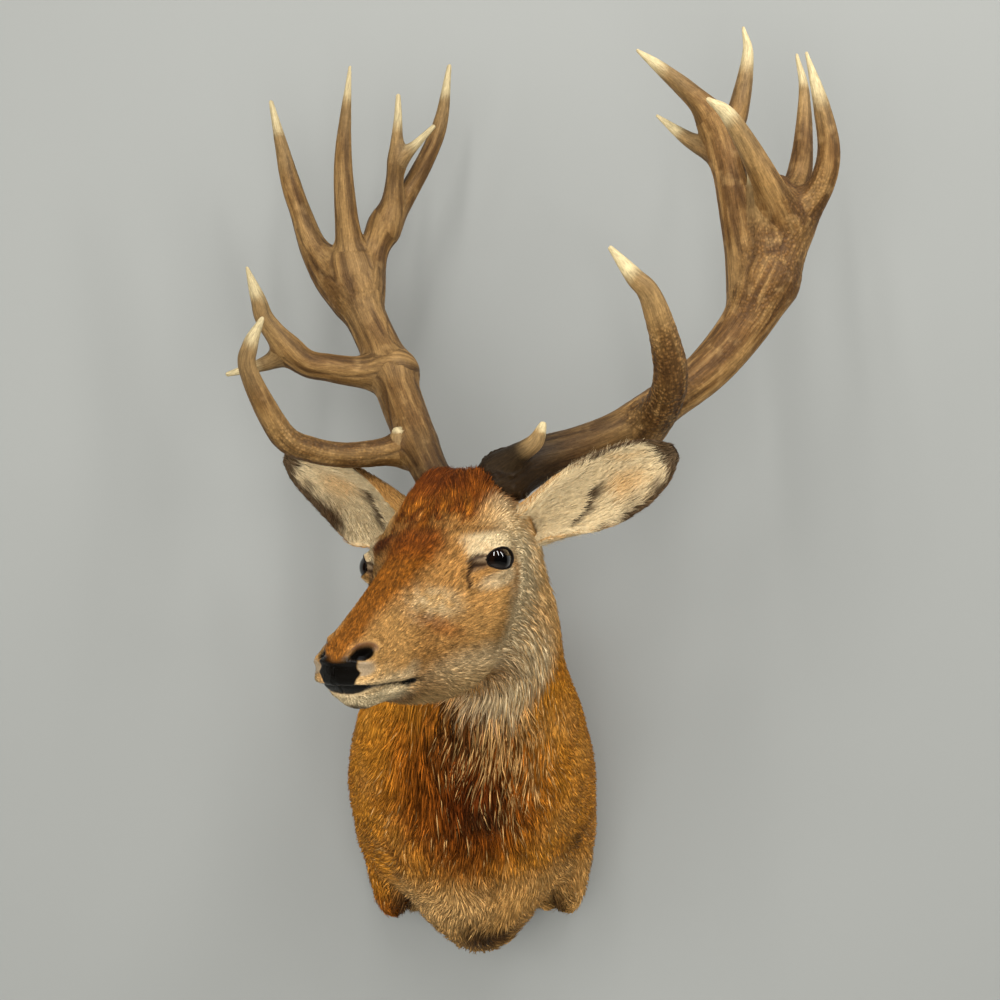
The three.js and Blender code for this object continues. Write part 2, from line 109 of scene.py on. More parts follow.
def distance_to_path(a: Array, b: Array, path: Sequence[Pair]) -> Tuple[Array, Array]:
    """Shortest distance of points to a broken line, and the share of the line where it is met."""
    best = np.full(a.shape, 1e9)
    share = np.zeros(a.shape)
    steps = len(path) - 1
    for i in range(steps):
        (a0, b0), (a1, b1) = path[i], path[i + 1]
        length = (a1 - a0) ** 2 + (b1 - b0) ** 2
        s = np.clip(((a - a0) * (a1 - a0) + (b - b0) * (b1 - b0)) / length, 0, 1)
        d = np.hypot(a - a0 - s * (a1 - a0), b - b0 - s * (b1 - b0))
        nearer = d < best
        best = np.where(nearer, d, best)
        share = np.where(nearer, (i + s) / steps, share)
    return best, share


def unit(v: Array) -> Array:
    """Vectors scaled to length 1."""
    return v / np.maximum(np.linalg.norm(v, axis=-1, keepdims=True), 1e-9)


def mixed(a: Array, b: Array, share: Array) -> Array:
    """Straight mix of two sets of vectors by a share for each."""
    return a + (b - a) * np.asarray(share)[..., None]


def hash_unit(*cells: Array, seed: int = 0) -> Array:
    """Repeatable values from 0 to 1 for whole-number cells, by multiply-and-shift mixing in 32 bits."""
    h = np.full(np.shape(cells[0]), (seed * 2654435761 + 374761393) & 0xFFFFFFFF, np.uint32)
    for k, cell in enumerate(cells):
        factor = np.uint32((0x9E3779B1 + 0x85EBCA6B * k) & 0xFFFFFFFF)
        h ^= np.asarray(cell).astype(np.int64).astype(np.uint32) * factor
        h ^= h >> np.uint32(15)
        h *= np.uint32(0x2C1B3C6D)
        h ^= h >> np.uint32(12)
    return h.astype(np.float64) / 4294967295.0


def value_noise(p: Array, seed: int = 0) -> Array:
    """Smooth noise from 0 to 1: the values at a cell's corners, mixed by a cubic step along each axis."""
    cell = np.floor(p).astype(np.int64)
    s = p - cell
    s = s * s * (3 - 2 * s)
    total = np.zeros(p.shape[:-1])
    axes = p.shape[-1]
    for corner in np.ndindex(*(2,) * axes):
        weight = np.ones(p.shape[:-1])
        for axis in range(axes):
            weight = weight * (s[..., axis] if corner[axis] else 1 - s[..., axis])
        value = hash_unit(*(cell[..., axis] + corner[axis] for axis in range(axes)), seed=seed)
        total += weight * value
    return total


def layered_noise(p: Array, size: float, seed: int = 0, layers: int = 3) -> Array:
    """Value noise summed over layers, each half as large and half as strong, kept near 0 to 1."""
    total, weight, strength = np.zeros(p.shape[:-1]), 0.0, 1.0
    for layer in range(layers):
        total += strength * value_noise(p * (2.0**layer / size), seed + 17 * layer)
        weight += strength
        strength *= 0.5
    return total / weight


def spline_rows(rows: Array, t: Array) -> Array:
    """Catmull-Rom value at t of rows of numbers, with one-sided slopes at both ends."""
    last = len(rows) - 1
    slopes = np.empty_like(rows)
    slopes[0], slopes[last] = rows[1] - rows[0], rows[last] - rows[last - 1]
    slopes[1:last] = (rows[2:] - rows[:-2]) / 2
    i = np.clip(np.floor(t).astype(int), 0, last - 1)
    u = (t - i)[..., None]
    return (
        (2 * u**3 - 3 * u**2 + 1) * rows[i]
        + (u**3 - 2 * u**2 + u) * slopes[i]
        + (3 * u**2 - 2 * u**3) * rows[i + 1]
        + (u**3 - u**2) * slopes[i + 1]
    )


def spaced(low: float, high: float, count: int, weight: Callable[[Array], Array],
           closed: bool = False) -> Array:
    """Values from low to high, closer together where the weight is large.

    They are the inverse of the weight's running integral, read at even steps.
    """
    fine = np.linspace(low, high, 4001)
    running = np.concatenate([[0.0], np.cumsum((weight(fine)[1:] + weight(fine)[:-1]) / 2)])
    steps = np.linspace(0, running[-1], count + 1)[:-1] if closed else np.linspace(0, running[-1], count)
    return np.interp(steps, running, fine)


def linear(red: int, green: int, blue: int) -> Array:
    """Scene-linear colour of a colour given as display values from 0 to 255."""
    c = np.array([red, green, blue]) / 255.0
    return np.where(c <= 0.04045, c / 12.92, ((c + 0.055) / 1.055) ** 2.4)


# ---------------------------------------------------------------- the body's form


@dataclass(frozen=True)
class HeadFrame:
    """The head's own frame: turned about the neck's upright axis, and tipped nose down."""

    yaw: float = math.radians(28)
    pitch: float = math.radians(6)
    pivot: float = 351.0
    eyes_forward: float = 441.0
    eyes_height: float = 318.0

    def profile(self, forward: Array, up: Array) -> Tuple[Array, Array]:
        """Forward distance and height of a point of the head's frame, with the head straight."""
        c, s = math.cos(self.pitch), math.sin(self.pitch)
        return self.eyes_forward + forward * c + up * s, self.eyes_height - forward * s + up * c

    def turned(self, forward: Array, side: Array, height: Array, share: Array) -> Array:
        """World points of straight ones, turned about the neck's axis by a share of the yaw."""
        c, s = np.cos(self.yaw * share), np.sin(self.yaw * share)
        reach = forward - self.pivot
        return np.stack([side * c - reach * s, -self.pivot - reach * c - side * s, height + 0 * c], axis=-1)

    def to_world(self, local: Array) -> Array:
        """World points of (forward, side, up) in the head's frame."""
        forward, height = self.profile(local[..., 0], local[..., 2])
        return self.turned(forward, local[..., 1], height, 1.0)

    def to_head(self, world: Array) -> Array:
        """The head's (forward, side, up) of world points."""
        c, s = math.cos(self.yaw), math.sin(self.yaw)
        x, out = world[..., 0], -world[..., 1] - self.pivot
        side = x * c + out * s
        forward = out * c - x * s + self.pivot - self.eyes_forward
        height = world[..., 2] - self.eyes_height
        cp, sp = math.cos(self.pitch), math.sin(self.pitch)
        return np.stack([forward * cp - height * sp, side, forward * sp + height * cp], axis=-1)


HEAD = HeadFrame()


@dataclass(frozen=True)
class BodyForm:
    """Outer surface of the coat, from the wall to the nose, as a function of station and angle.

    Station rows are: top (forward, height), bottom (forward, height) in the median plane, half widths at
    the upper level, the middle and the lower level, the lower half's superellipse power, the share of the
    head's turn, and a shift along X.
    """

    trunk_and_neck: Tuple[Row, ...] = (
        (4, 178, 4, -112, 84, 136, 140, 3.6, 0, 0),
        (40, 200, 55, -122, 90, 153, 150, 3.6, 0, 0),
        (80, 222, 118, -128, 95, 161, 144, 3.2, 0, -2),
        (120, 246, 182, -118, 95, 162, 124, 2.8, 0, -5),
        (160, 270, 248, -86, 90, 154, 108, 2.5, 0.02, -8),
        (200, 295, 290, -28, 80, 140, 94, 2.4, 0.08, -11),
        (240, 320, 314, 40, 69, 122, 86, 2.4, 0.2, -10),
        (280, 343, 330, 105, 63, 107, 79, 2.4, 0.42, -5),
        (315, 364, 345, 152, 60, 98, 72, 2.4, 0.7, 3),
        (343, 386, 362, 182, 60, 92, 64, 2.4, 0.92, 4),
    )
    # top (forward, up), bottom (forward, up) and the three half widths, in the head's frame
    head: Tuple[Row, ...] = (
        (-74, 94, -38, -143, 60, 89, 55),
        (-42, 98, -18, -148, 62, 90, 52),
        (-6, 78, 8, -146, 64, 88, 49),
        (28, 50, 37, -140, 52, 74, 45),
        (64, 23, 66, -133, 36, 58, 40),
        (100, 3, 97, -129, 29, 48, 35),
        (135, -17, 128, -129, 27, 42, 32),
        (165, -35, 155, -131, 28, 39, 30),
        (188, -48, 178, -132, 28, 39, 27),
        (205, -58, 193, -127, 26, 36, 24),
        (215, -68, 204, -119, 20, 29, 18),
        (220, -80, 211, -107, 12, 18, 11),
        (222, -89, 217, -99, 3, 5, 3),
    )
    upper_power: float = 2.4
    width_level: float = 0.72
    brisket_reach: Row = (0, 30, 60, 125, 195, 255, 300)
    brisket_depth: Row = (24, 44, 58, 72, 56, 24, 0)
    brisket_half_width: float = 73.0
    brisket_side: float = 7.0
    brisket_power: float = 2.6
    brisket_end: float = 6.5
    underside: Pair = (0.15, 0.8)

    @property
    def end(self) -> float:
        """The last station, at the nose."""
        return float(len(self.trunk_and_neck) + len(self.head) - 1)

    def rows(self) -> Array:
        """All station rows in the mount's own lengths."""
        rows = [list(row) for row in self.trunk_and_neck]
        for f0, u0, f1, u1, *widths in self.head:
            rows.append([*HEAD.profile(f0, u0), *HEAD.profile(f1, u1), *widths, self.upper_power, 1, 0])
        return np.array(rows, float)

    def superellipse(self, power: Array) -> Array:
        """Half width of a unit superellipse of a power, (1 - level^power)^(1/power), at the width level."""
        return (1 - self.width_level**power) ** (1 / power)

    def points(self, t: Array, angle: Array) -> Array:
        """World points of the surface.

        Each section is a superellipse in polar form, |cos|^p + |sin|^p = 1, between its top and bottom,
        and its half width is scaled by the parabola through the three given half widths. The brisket
        hangs below it as a ridge exp(-|side / half width|^power) times its depth at that distance.

        Args:
            t: Station numbers.
            angle: Angles round the section from its top, in radians.

        Returns:
            An array of points with a last axis of 3.
        """
        row = np.moveaxis(spline_rows(self.rows(), t), -1, 0)
        top_a, top_h, bottom_a, bottom_h, upper, middle, lower, lower_power, yaw, shift = row
        cosine, sine = np.cos(angle), np.sin(angle)
        power = np.where(cosine > 0, self.upper_power, lower_power)
        reach = (np.abs(cosine) ** power + np.abs(sine) ** power) ** (-1 / power)
        level = cosine * reach
        forward = (top_a + bottom_a) / 2 + (top_a - bottom_a) / 2 * level
        height = (top_h + bottom_h) / 2 + (top_h - bottom_h) / 2 * level
        high = upper / middle / self.superellipse(np.asarray(self.upper_power))
        low = lower / middle / self.superellipse(lower_power)
        x = level / self.width_level
        fullness = np.clip(1 + (high - low) / 2 * x + ((high + low) / 2 - 1) * x * x, 0.2, 2.0)
        side = sine * reach * middle * fullness
        p = HEAD.turned(forward, side, height, yaw)
        p[..., 0] += shift
        under = smoothstep(self.underside[0], self.underside[1], -level)
        across = np.exp(-np.abs((side - self.brisket_side) / self.brisket_half_width) ** self.brisket_power)
        drop = under * across * np.interp(forward, self.brisket_reach, self.brisket_depth)
        p[..., 2] -= np.where(t < self.brisket_end, drop, 0)
        return p


# ---------------------------------------------------------------- surfaces on a grid


@dataclass
class Sheet:
    """A surface worked out on a grid of rows and columns, with the fields that the coat reads from it.

    Args:
        points: Places, rows by columns by 3.
        wrap: Whether the last column joins the first.
        sense: 1 where rows crossed with columns point outwards, and -1 where they point inwards.
        fields: Values at the grid points, by name.
    """

    points: Array
    wrap: bool
    sense: float = 1.0
    fields: Dict[str, Array] = field(default_factory=dict)

    def slopes(self) -> Tuple[Array, Array]:
        """Change of place along the rows and along the columns, by central differences."""
        rows = np.gradient(self.points, axis=0)
        if self.wrap:
            columns = (np.roll(self.points, -1, 1) - np.roll(self.points, 1, 1)) / 2
        else:
            columns = np.gradient(self.points, axis=1)
        return rows, columns

    def normals(self) -> Array:
        """Outward unit normals: rows crossed with columns."""
        rows, columns = self.slopes()
        return unit(np.cross(rows, columns)) * self.sense

    def areas(self) -> Array:
        """Area that each grid point stands for, the length of rows crossed with columns."""
        rows, columns = self.slopes()
        return np.linalg.norm(np.cross(rows, columns), axis=-1)

    def read(self, values: Array, row: Array, column: Array) -> Array:
        """Values between grid points, mixed from the four around each place."""
        rows, columns = values.shape[:2]
        r0 = np.clip(np.floor(row).astype(int), 0, rows - 2)
        c0 = np.floor(column).astype(int)
        if not self.wrap:
            c0 = np.clip(c0, 0, columns - 2)
        fr, fc = row - r0, column - c0
        c1 = (c0 + 1) % columns
        c0 = c0 % columns
        if values.ndim > 2:
            fr, fc = fr[:, None], fc[:, None]
        low = values[r0, c0] * (1 - fc) + values[r0, c1] * fc
        high = values[r0 + 1, c0] * (1 - fc) + values[r0 + 1, c1] * fc
        return low * (1 - fr) + high * fr

    def scatter(self, weight: Array, count: int, start: int) -> Tuple[Array, Array]:
        """Evenly spread places, as many for each area as the weight says.

        A two-dimensional additive sequence is sent through the weight's running sums: its first number
        picks the row, and its second the column within that row.

        Args:
            weight: Places wanted for each grid point.
            count: How many places.
            start: Where in the sequence to start.

        Returns:
            Row and column of each place, with fractions.
        """
        n = np.arange(start + 1, start + count + 1)
        stray = 2.0 / math.sqrt(max(count, 1))
        u = (n * EVEN_STEPS[0] + stray * hash_unit(n, seed=3)) % 1
        v = (n * EVEN_STEPS[1] + stray * hash_unit(n, seed=4)) % 1
        by_row = np.concatenate([[0], np.cumsum(weight.sum(1)[:-1])])
        row = np.interp(u * by_row[-1], by_row, np.arange(len(by_row)))
        column = np.zeros(count)
        order = np.argsort(row)
        edges = np.searchsorted(row[order], np.arange(weight.shape[0] + 1))
        last = weight.shape[1] if self.wrap else weight.shape[1] - 1
        for r in range(weight.shape[0]):
            chosen = order[edges[r] : edges[r + 1]]
            if not len(chosen):
                continue
            line = weight[r] + weight[min(r + 1, weight.shape[0] - 1)]
            running = np.concatenate([[0], np.cumsum(line)])[: last + 1]
            column[chosen] = np.interp(v[chosen] * running[-1], running, np.arange(last + 1))
        return row, column

    def faces(self) -> Array:
        """Four-cornered faces of the grid, turned outwards."""
        rows, columns = self.points.shape[:2]
        r = np.arange(rows - 1)[:, None] * columns
        c = np.arange(columns if self.wrap else columns - 1)[None, :]
        k = (c + 1) % columns
        quads = np.stack([r + c, r + columns + c, r + columns + k, r + k], axis=-1).reshape(-1, 4)
        return quads if self.sense > 0 else quads[:, ::-1]


def make_mesh(name: str, points: Array, polygons: Sequence[Array], colours: Dict[str, Array],
              uv: Array = None, smooth: bool = True) -> Piece:
    """Builds an object from whole arrays.

    Args:
        name: The object's name.
        points: Places in millimetres.
        polygons: Arrays of corner numbers, each with a fixed number of corners.
        colours: Linear colours for each point, by the name of their attribute.
        uv: Texture place of each point, kept as the map OFBake.
        smooth: Whether the faces are shaded smooth.

    Returns:
        The linked object, at the origin.
    """
    mesh = bpy.data.meshes.new(name)
    corners = np.concatenate([p.reshape(-1) for p in polygons]).astype(np.int32)
    sizes = np.concatenate([np.full(len(p), p.shape[1]) for p in polygons]).astype(np.int32)
    starts = np.concatenate([[0], np.cumsum(sizes)[:-1]]).astype(np.int32)
    mesh.vertices.add(len(points))
    mesh.vertices.foreach_set("co", (points * MM).astype(np.float32).ravel())
    mesh.loops.add(len(corners))
    mesh.loops.foreach_set("vertex_index", corners)
    mesh.polygons.add(len(sizes))
    mesh.polygons.foreach_set("loop_start", starts)
    mesh.polygons.foreach_set("use_smooth", np.full(len(sizes), smooth))
    mesh.update(calc_edges=True)
    for attribute_name, colour in colours.items():
        attribute = mesh.color_attributes.new(attribute_name, "FLOAT_COLOR", "POINT")
        rgba = np.ones((len(points), 4), np.float32)
        rgba[:, : colour.shape[1]] = colour
        attribute.data.foreach_set("color", rgba.ravel())
    if uv is not None:
        layer = mesh.uv_layers.new(name="OFBake")
        layer.data.foreach_set("uv", uv[corners].astype(np.float32).ravel())
    made = bpy.data.objects.new(name, mesh)
    bpy.context.scene.collection.objects.link(made)
    return made


def place(piece: Piece, material: Material, slot: str, *nodes: str) -> Piece:
    """Dresses a piece, hangs it on the mount's only body and hides the nodes it stands for."""
    piece.data.materials.append(material)
    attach(piece, ROOT)
    if nodes:
        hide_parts(*nodes)
    LOG.info("%s: %d triangles", piece.name, len(piece.data.loops) - 2 * len(piece.data.polygons))
    return piece


# ---------------------------------------------------------------- the places of the face


@dataclass(frozen=True)
class FacePlan:
    """Where the features of the face lie, in the head's frame; side is the same on both sides."""

    eye: Triple = (1.0, 75.4, 3.9)
    eye_drop: float = 11.0
    eye_axis: Triple = (0.42, 0.88, 0.10)
    eye_radius: float = 18.4
    lid_thickness: float = 1.7
    opening_nose: float = 16.6
    opening_rear: float = 19.6
    opening_up: float = 13.2
    opening_down: float = 11.0
    almond_power: float = 0.45
    lid_reach: float = 48.0
    right_eye_out: float = 3.5
    pad_shift: Triple = (0.0, 3.0, 0.0)
    tear_groove: Tuple[Pair, ...] = ((22, 3), (29, 3), (36, -2), (41, -10), (44, -23))
    mouth: Tuple[Pair, ...] = (
        (115, -111), (131, -112), (150, -110), (178, -106), (205, -103), (218, -103),
    )
    nostril: Triple = (203.0, 26.0, -67.5)
    nostril_axis: Triple = (-22.0, 15.0, 5.0)
    nostril_radii: Pair = (16.0, 7.0)
    pad_levels: Row = (-108, -103, -95, -90, -87, -80, -75, -70, -66)
    pad_half_widths: Row = (10, 14, 18, 21, 25, 20, 21, 19, 10)

    def eye_basis(self) -> Tuple[Array, Array, Array]:
        """Outward axis of the left eye, and its backward and upward directions, in the head's frame."""
        out = unit(np.array(self.eye_axis))
        up = unit(np.array([0.0, 0.0, 1.0]) - out * out[2])
        return out, -np.cross(out, up), up

    def eye_centre(self, sign: float) -> Array:
        """Middle of one eyeball; the right one sits lower by the drop and stands out a little more."""
        right = float(sign < 0)
        side = (self.eye[1] + self.right_eye_out * right) * sign
        return np.array([self.eye[0], side, self.eye[2] - self.eye_drop * right])

    def paired(self, local: Array) -> Tuple[Array, Array, Array]:
        """Forward, side and up as on the left half; round the right eye, up is raised by the drop."""
        f, l, u = local[..., 0], local[..., 1], local[..., 2]
        near = patch(f, u + self.eye_drop / 2, (self.eye[0], self.eye[2]), (64, 64), 0, 0.45) * (l < 0)
        return f, np.abs(l), u + self.eye_drop * near * smoothstep(10, 40, -l)

    def opening(self, x: Array, y: Array) -> Array:
        """Signed distance outside the lids' almond, roughly.

        The almond's edge is a half height times (1 - s^2)^power, where s runs from -1 at the corner near
        the nose to 1 at the rear one; beyond the corners it is the distance to them.
        """
        middle = (self.opening_rear - self.opening_nose) / 2
        half = (self.opening_rear + self.opening_nose) / 2
        s = (x - middle) / half
        inside = np.clip(1 - s * s, 0, 1) ** self.almond_power
        edge = np.where(y > 0, self.opening_up, self.opening_down) * inside
        beyond = np.maximum(np.abs(x - middle) - half, 0)
        past = np.abs(y) - edge
        return np.hypot(beyond, np.maximum(past, 0)) + np.minimum(past, 0) * (beyond == 0)


FACE = FacePlan()


def pad_mask(local: Array) -> Array:
    """1 on the bare nose pad: in front, and within the half width that its height gives."""
    halves = [np.interp(local[..., 2] + step, FACE.pad_levels, FACE.pad_half_widths) for step in (-2, 0, 2)]
    half = sum(halves) / 3
    rows = smoothstep(-109, -106, local[..., 2]) * fall(-72, -67, local[..., 2])
    front = smoothstep(196, 203, local[..., 0])
    dip = 1 - bump(local[..., 1], 0, 7) * smoothstep(-77, -72, local[..., 2])
    return fall(half - 1.0, half + 1.5, np.abs(local[..., 1])) * rows * front * dip


def nostril_distance(local: Array) -> Array:
    """Distance from the nostril's middle, as a share of its radii, the same on both sides."""
    mirrored = local.copy()
    mirrored[..., 1] = np.abs(mirrored[..., 1])
    axis = unit(np.array(FACE.nostril_axis))
    across = unit(np.array([0.0, 0.0, 1.0]) - axis * axis[2])
    d = mirrored - np.array(FACE.nostril)
    x, y = d @ axis, d @ across
    taper = 1 - 0.35 * smoothstep(0, -1, x / FACE.nostril_radii[0])
    depth = np.abs(d @ np.cross(axis, across)) / 22
    within = np.hypot(x / FACE.nostril_radii[0], y / (FACE.nostril_radii[1] * taper))
    return within + np.maximum(depth - 1, 0) * 3


def eye_distance(local: Array) -> Array:
    """Signed distance outside the lids' opening of the nearer eye, and large away from it."""
    _, behind, up = FACE.eye_basis()
    best = np.full(local.shape[:-1], 99.0)
    for sign in (1.0, -1.0):
        d = (local - FACE.eye_centre(sign)) * np.array([1.0, sign, 1.0])
        near = np.linalg.norm(d, axis=-1) < FACE.lid_reach
        best = np.where(near, FACE.opening(d @ behind, d @ up), best)
    return best


# ---------------------------------------------------------------- markings


@dataclass(frozen=True)
class Pelt:
    """Colours of the coat, in display values, named for where they show."""

    orange: Colour = (168, 112, 34)
    russet: Colour = (118, 62, 12)
    mahogany: Colour = (70, 30, 5)
    dark_brown: Colour = (46, 26, 10)
    tan: Colour = (178, 136, 78)
    buff: Colour = (198, 162, 108)
    cream: Colour = (230, 208, 164)
    cheek: Colour = (146, 106, 56)
    bridge: Colour = (114, 66, 12)
    ear_dark: Colour = (50, 31, 15)
    # black leather of the pad, lips and lid edges; also painted shade inside the nostrils and in the open
    # mouth's corner
    lip_black: Colour = (9, 7, 5)
    lid_brown: Colour = (88, 64, 44)
    skin_grey: Colour = (146, 126, 98)
    rim_pink: Colour = (84, 54, 34)


class Markings:
    """Paints the same markings on the skin and on the coat."""

    def __init__(self, pelt: Pelt) -> None:
        """Turns the pelt's colours into linear ones."""
        self.c = {name: linear(*getattr(pelt, name)) for name in pelt.__dataclass_fields__}

    def over(self, base: Array, colour: str, share: Array) -> Array:
        """Base colours with a named colour laid over them by a share."""
        return mixed(base, self.c[colour], np.clip(share, 0, 1))

    def layered(self, base: Array, layers: Sequence[Tuple[str, Array]]) -> Array:
        """Base colours with named colours laid over them one after another, each by its share."""
        for colour, share in layers:
            base = self.over(base, colour, share)
        return base

    def body(self, world: Array, angle: Array, station: Array) -> Array:
        """Colours of the neck and trunk from their place.

        Sides are orange; the mane in front is russet with a dark middle; the throat is buff; the chest
        below is tan; the line of the back is dark; each is a soft patch laid over the last. Dark patches
        below the mane's lower edge and in the hollows beside the leg stumps are painted shade.
        """
        x, z = world[..., 0], world[..., 2]
        front = smoothstep(95, 125, np.degrees(np.abs(angle)))
        back = fall(8, 42, np.degrees(np.abs(angle)))
        noise = layered_noise(world, 46, 3)
        small = layered_noise(world, 15, 5)
        wobble = (noise - 0.5) * 60
        base = self.c["orange"]
        base = self.layered(base, [
            ("tan", 0.3 * smoothstep(0.45, 0.75, noise)),
            ("russet", 0.3 * smoothstep(0.55, 0.3, small)),
            ("dark_brown", 0.62 * back),
            ("russet", 0.92 * front * patch(x, z + wobble * 0.4, (-8, 62), (92, 112))),
            ("mahogany", 0.97 * front * patch(x, z + wobble * 0.5, (-6, 52), (52, 66), 6, 0.7)),
            ("dark_brown", 0.8 * front * patch(x, z + wobble * 0.4, (-6, 128), (46, 44), 30, 0.7)),
            # painted shadow: dark band below the mane's lower edge, where the mane overhangs the chest
            ("dark_brown", 0.9 * front * patch(x, z, (7, 29), (28, 11), 0, 0.7)),
        ])
        lower = fall(-76, -42, z + wobble * 0.5) * smoothstep(-104, -72, x)
        base = self.layered(base, [
            ("tan", 0.85 * front * lower),
            ("buff", 0.5 * front * patch(x, z, (-36, -112), (56, 26), 10, 0.7)),
            ("mahogany", 0.3 * front * patch(x, z + wobble * 0.3, (-2, -50), (52, 26), 0, 0.8)),
            ("dark_brown", 0.92 * front * patch(x, z, (10, -152), (36, 27), -12, 0.6)),
            ("mahogany", 0.6 * patch(x, z, (-92, -44), (15, 8), -20, 0.6) * front),
            ("dark_brown", 0.7 * patch(x, z, (122, -34), (26, 9), 52, 0.6) * front),
        ])
        low = fall(-122, -96, z)
        base = self.layered(base, [
            ("russet", 0.8 * low * (x < 0) * smoothstep(-86, -100, x)),
            ("tan", 0.8 * low * smoothstep(104, 116, x)),
            # painted shade: the web in the hollow between the brisket and each leg stump is darkened
            ("dark_brown", 0.92 * patch(np.abs(x - 5), z, (97, -136), (18, 30), 0, 0.5)),
        ])
        throat = smoothstep(7.4, 8.4, station) * front
        base = self.layered(base, [
            ("russet", 0.6 * throat * smoothstep(-10, -50, x)),
            ("cream", 0.8 * throat * smoothstep(0, 48, x + wobble * 0.4)),
        ])
        ruff = smoothstep(7.8, 8.4, station) * front * smoothstep(-30, 8, x)
        base = self.over(base, "cream", 0.5 * ruff)
        nape = smoothstep(7.2, 9.0, station) * (1 - front) * smoothstep(30, 70, np.degrees(np.abs(angle)))
        return self.over(base, "buff", 0.8 * nape)

    def head(self, local: Array, world: Array) -> Array:
        """Colours of the face from its place in the head's frame; both sides are alike."""
        f, l, u = FACE.paired(local)
        noise = layered_noise(world, 26, 11)
        small = layered_noise(world, 7, 13)
        coarse = (noise - 0.5) * 22
        side = smoothstep(16, 44, l)
        base = self.c["cheek"]
        base = self.layered(base, [
            ("tan", 0.5 * smoothstep(0.45, 0.7, noise)),
            ("tan", 0.8 * patch(f, u + coarse * 0.5, (4, -66), (56, 44), 0, 0.7) * side),
            ("cream", 0.55 * patch(f, u + coarse * 0.5, (28, -120), (88, 26), -2, 0.5) * side),
            ("buff", 0.6 * patch(f, u + coarse * 0.5, (70, -122), (60, 16), -4, 0.5) * side),
            ("cream", 0.75 * patch(f, u, (-44, -34), (32, 78), 0, 0.5) * side),
            ("tan", 0.85 * smoothstep(108, 150, f + coarse)),
            ("buff", 0.6 * smoothstep(150, 180, f) * fall(-90, -78, u)),
        ])
        half = np.interp(f, (20, 60, 95, 130, 180), (34, 32, 30, 24, 18))
        base = self.layered(base, [
            ("bridge", 0.95 * fall(half - 10, half + 8, l + coarse * 0.5) * smoothstep(20, 60, f)),
            ("russet", 0.75 * patch(f, l, (52, 8), (34, 26), 20, 0.5) * smoothstep(0, 26, u)),
            ("mahogany", 0.6 * patch(f + coarse, l, (44, 10), (24, 22), 30, 0.7) * (u > 10)),
        ])
        forehead = smoothstep(34, 52, u + coarse * 0.4) * fall(50, 66, l)
        base = self.layered(base, [
            ("bridge", 0.95 * forehead),
            ("mahogany", 0.75 * forehead * smoothstep(0.62, 0.42, small)),
        ])
        crown = smoothstep(60, 82, u + coarse * 0.6)
        base = self.layered(base, [
            ("russet", 0.9 * crown),
            ("mahogany", 0.8 * crown * smoothstep(0.66, 0.42, noise)),
            ("tan", 0.45 * patch(f, u, (16, 44), (15, 9), 10, 0.7) * smoothstep(0.4, 0.6, small) * (l > 8)),
        ])
        spot = patch(f, u, (35, 31), (15, 12), 0, 0.5) * smoothstep(26, 36, l) * (local[..., 1] < 0)
        cheek = patch(f, u + coarse * 0.5, (96, -34), (30, 17), 12, 0.9) * side
        base = self.layered(base, [
            ("buff", 0.95 * cheek),
            ("cream", 0.5 * cheek * smoothstep(0.35, 0.65, small)),
            ("russet", 0.6 * patch(f, u + coarse * 0.4, (88, -58), (34, 9), 28, 0.7) * side),
        ])
        temple = patch(f, u + coarse * 0.5, (-44, 14), (34, 40), 0, 0.6) * smoothstep(44, 60, l)
        base = self.layered(base, [
            ("cream", 0.9 * temple),
            ("cheek", 0.9 * patch(f, u, (-21, -14), (9, 27), 8, 0.7) * side),
        ])
        brow = patch(f, u + coarse * 0.2, (-2, 24), (29, 8), 2, 0.5)
        brow = np.maximum(brow, patch(f, u, (23, 13), (9, 9), -20, 0.6))
        upper = patch(f, u + coarse * 0.5, (-18, 46), (34, 12), 8, 0.7)
        base = self.layered(base, [
            ("buff", 0.4 * upper * smoothstep(48, 62, l)),
            ("cream", 0.95 * brow * smoothstep(38, 52, l)),
            ("mahogany", 0.95 * spot),
            ("cream", 0.6 * patch(f, u, (8, -17), (25, 9), -16, 0.5) * side),
        ])
        jaw = smoothstep(-112, -124, u) * fall(100, 130, f) * smoothstep(-30, -10, f)
        base = self.over(base, "buff", 0.8 * jaw)
        chin = smoothstep(112, 150, f) * fall(-112, -106, u)
        base = self.layered(base, [
            ("cream", 0.9 * chin),
            # painted shadow: dark patch on the underside of the chin
            ("dark_brown", 0.85 * patch(f, l, (190, 0), (15, 14), 0, 0.5) * (u < -120)),
        ])
        lips = smoothstep(118, 140, f) * bump(u, -103, 7)
        base = self.over(base, "cream", 0.55 * lips)
        return self.over(base, "cream", 0.25 * patch(f, u, (128, -98), (12, 9), 0, 0.5) * side)

    def bare(self, local: Array, colours: Array) -> Tuple[Array, Array]:
        """Bare and wet places of the face laid over its colours.

        Returns:
            The colours, and the mask of bare leather from 0 to 1.
        """
        f, l, u = FACE.paired(local)
        mirrored = np.stack([f, l, u], axis=-1)
        pad = pad_mask(local - np.array(FACE.pad_shift))
        hole = nostril_distance(mirrored)
        beside = patch(l, u, (27.5, -82.5), (9.5, 7.5), -15, 0.3) * smoothstep(192, 198, f)
        colours = self.over(colours, "skin_grey", beside * (1 - pad))
        rim = fall(1.1, 1.4, hole) * smoothstep(0.8, 1.0, hole) * smoothstep(-72, -62, u)
        colours = self.layered(colours, [
            ("rim_pink", rim * (1 - pad) * 0.9),
            ("lip_black", pad),
        ])
        # inside the nostril: black leather with painted shade of the hole's depth
        inside = fall(0.85, 1.05, hole)
        colours = self.over(colours, "lip_black", inside)
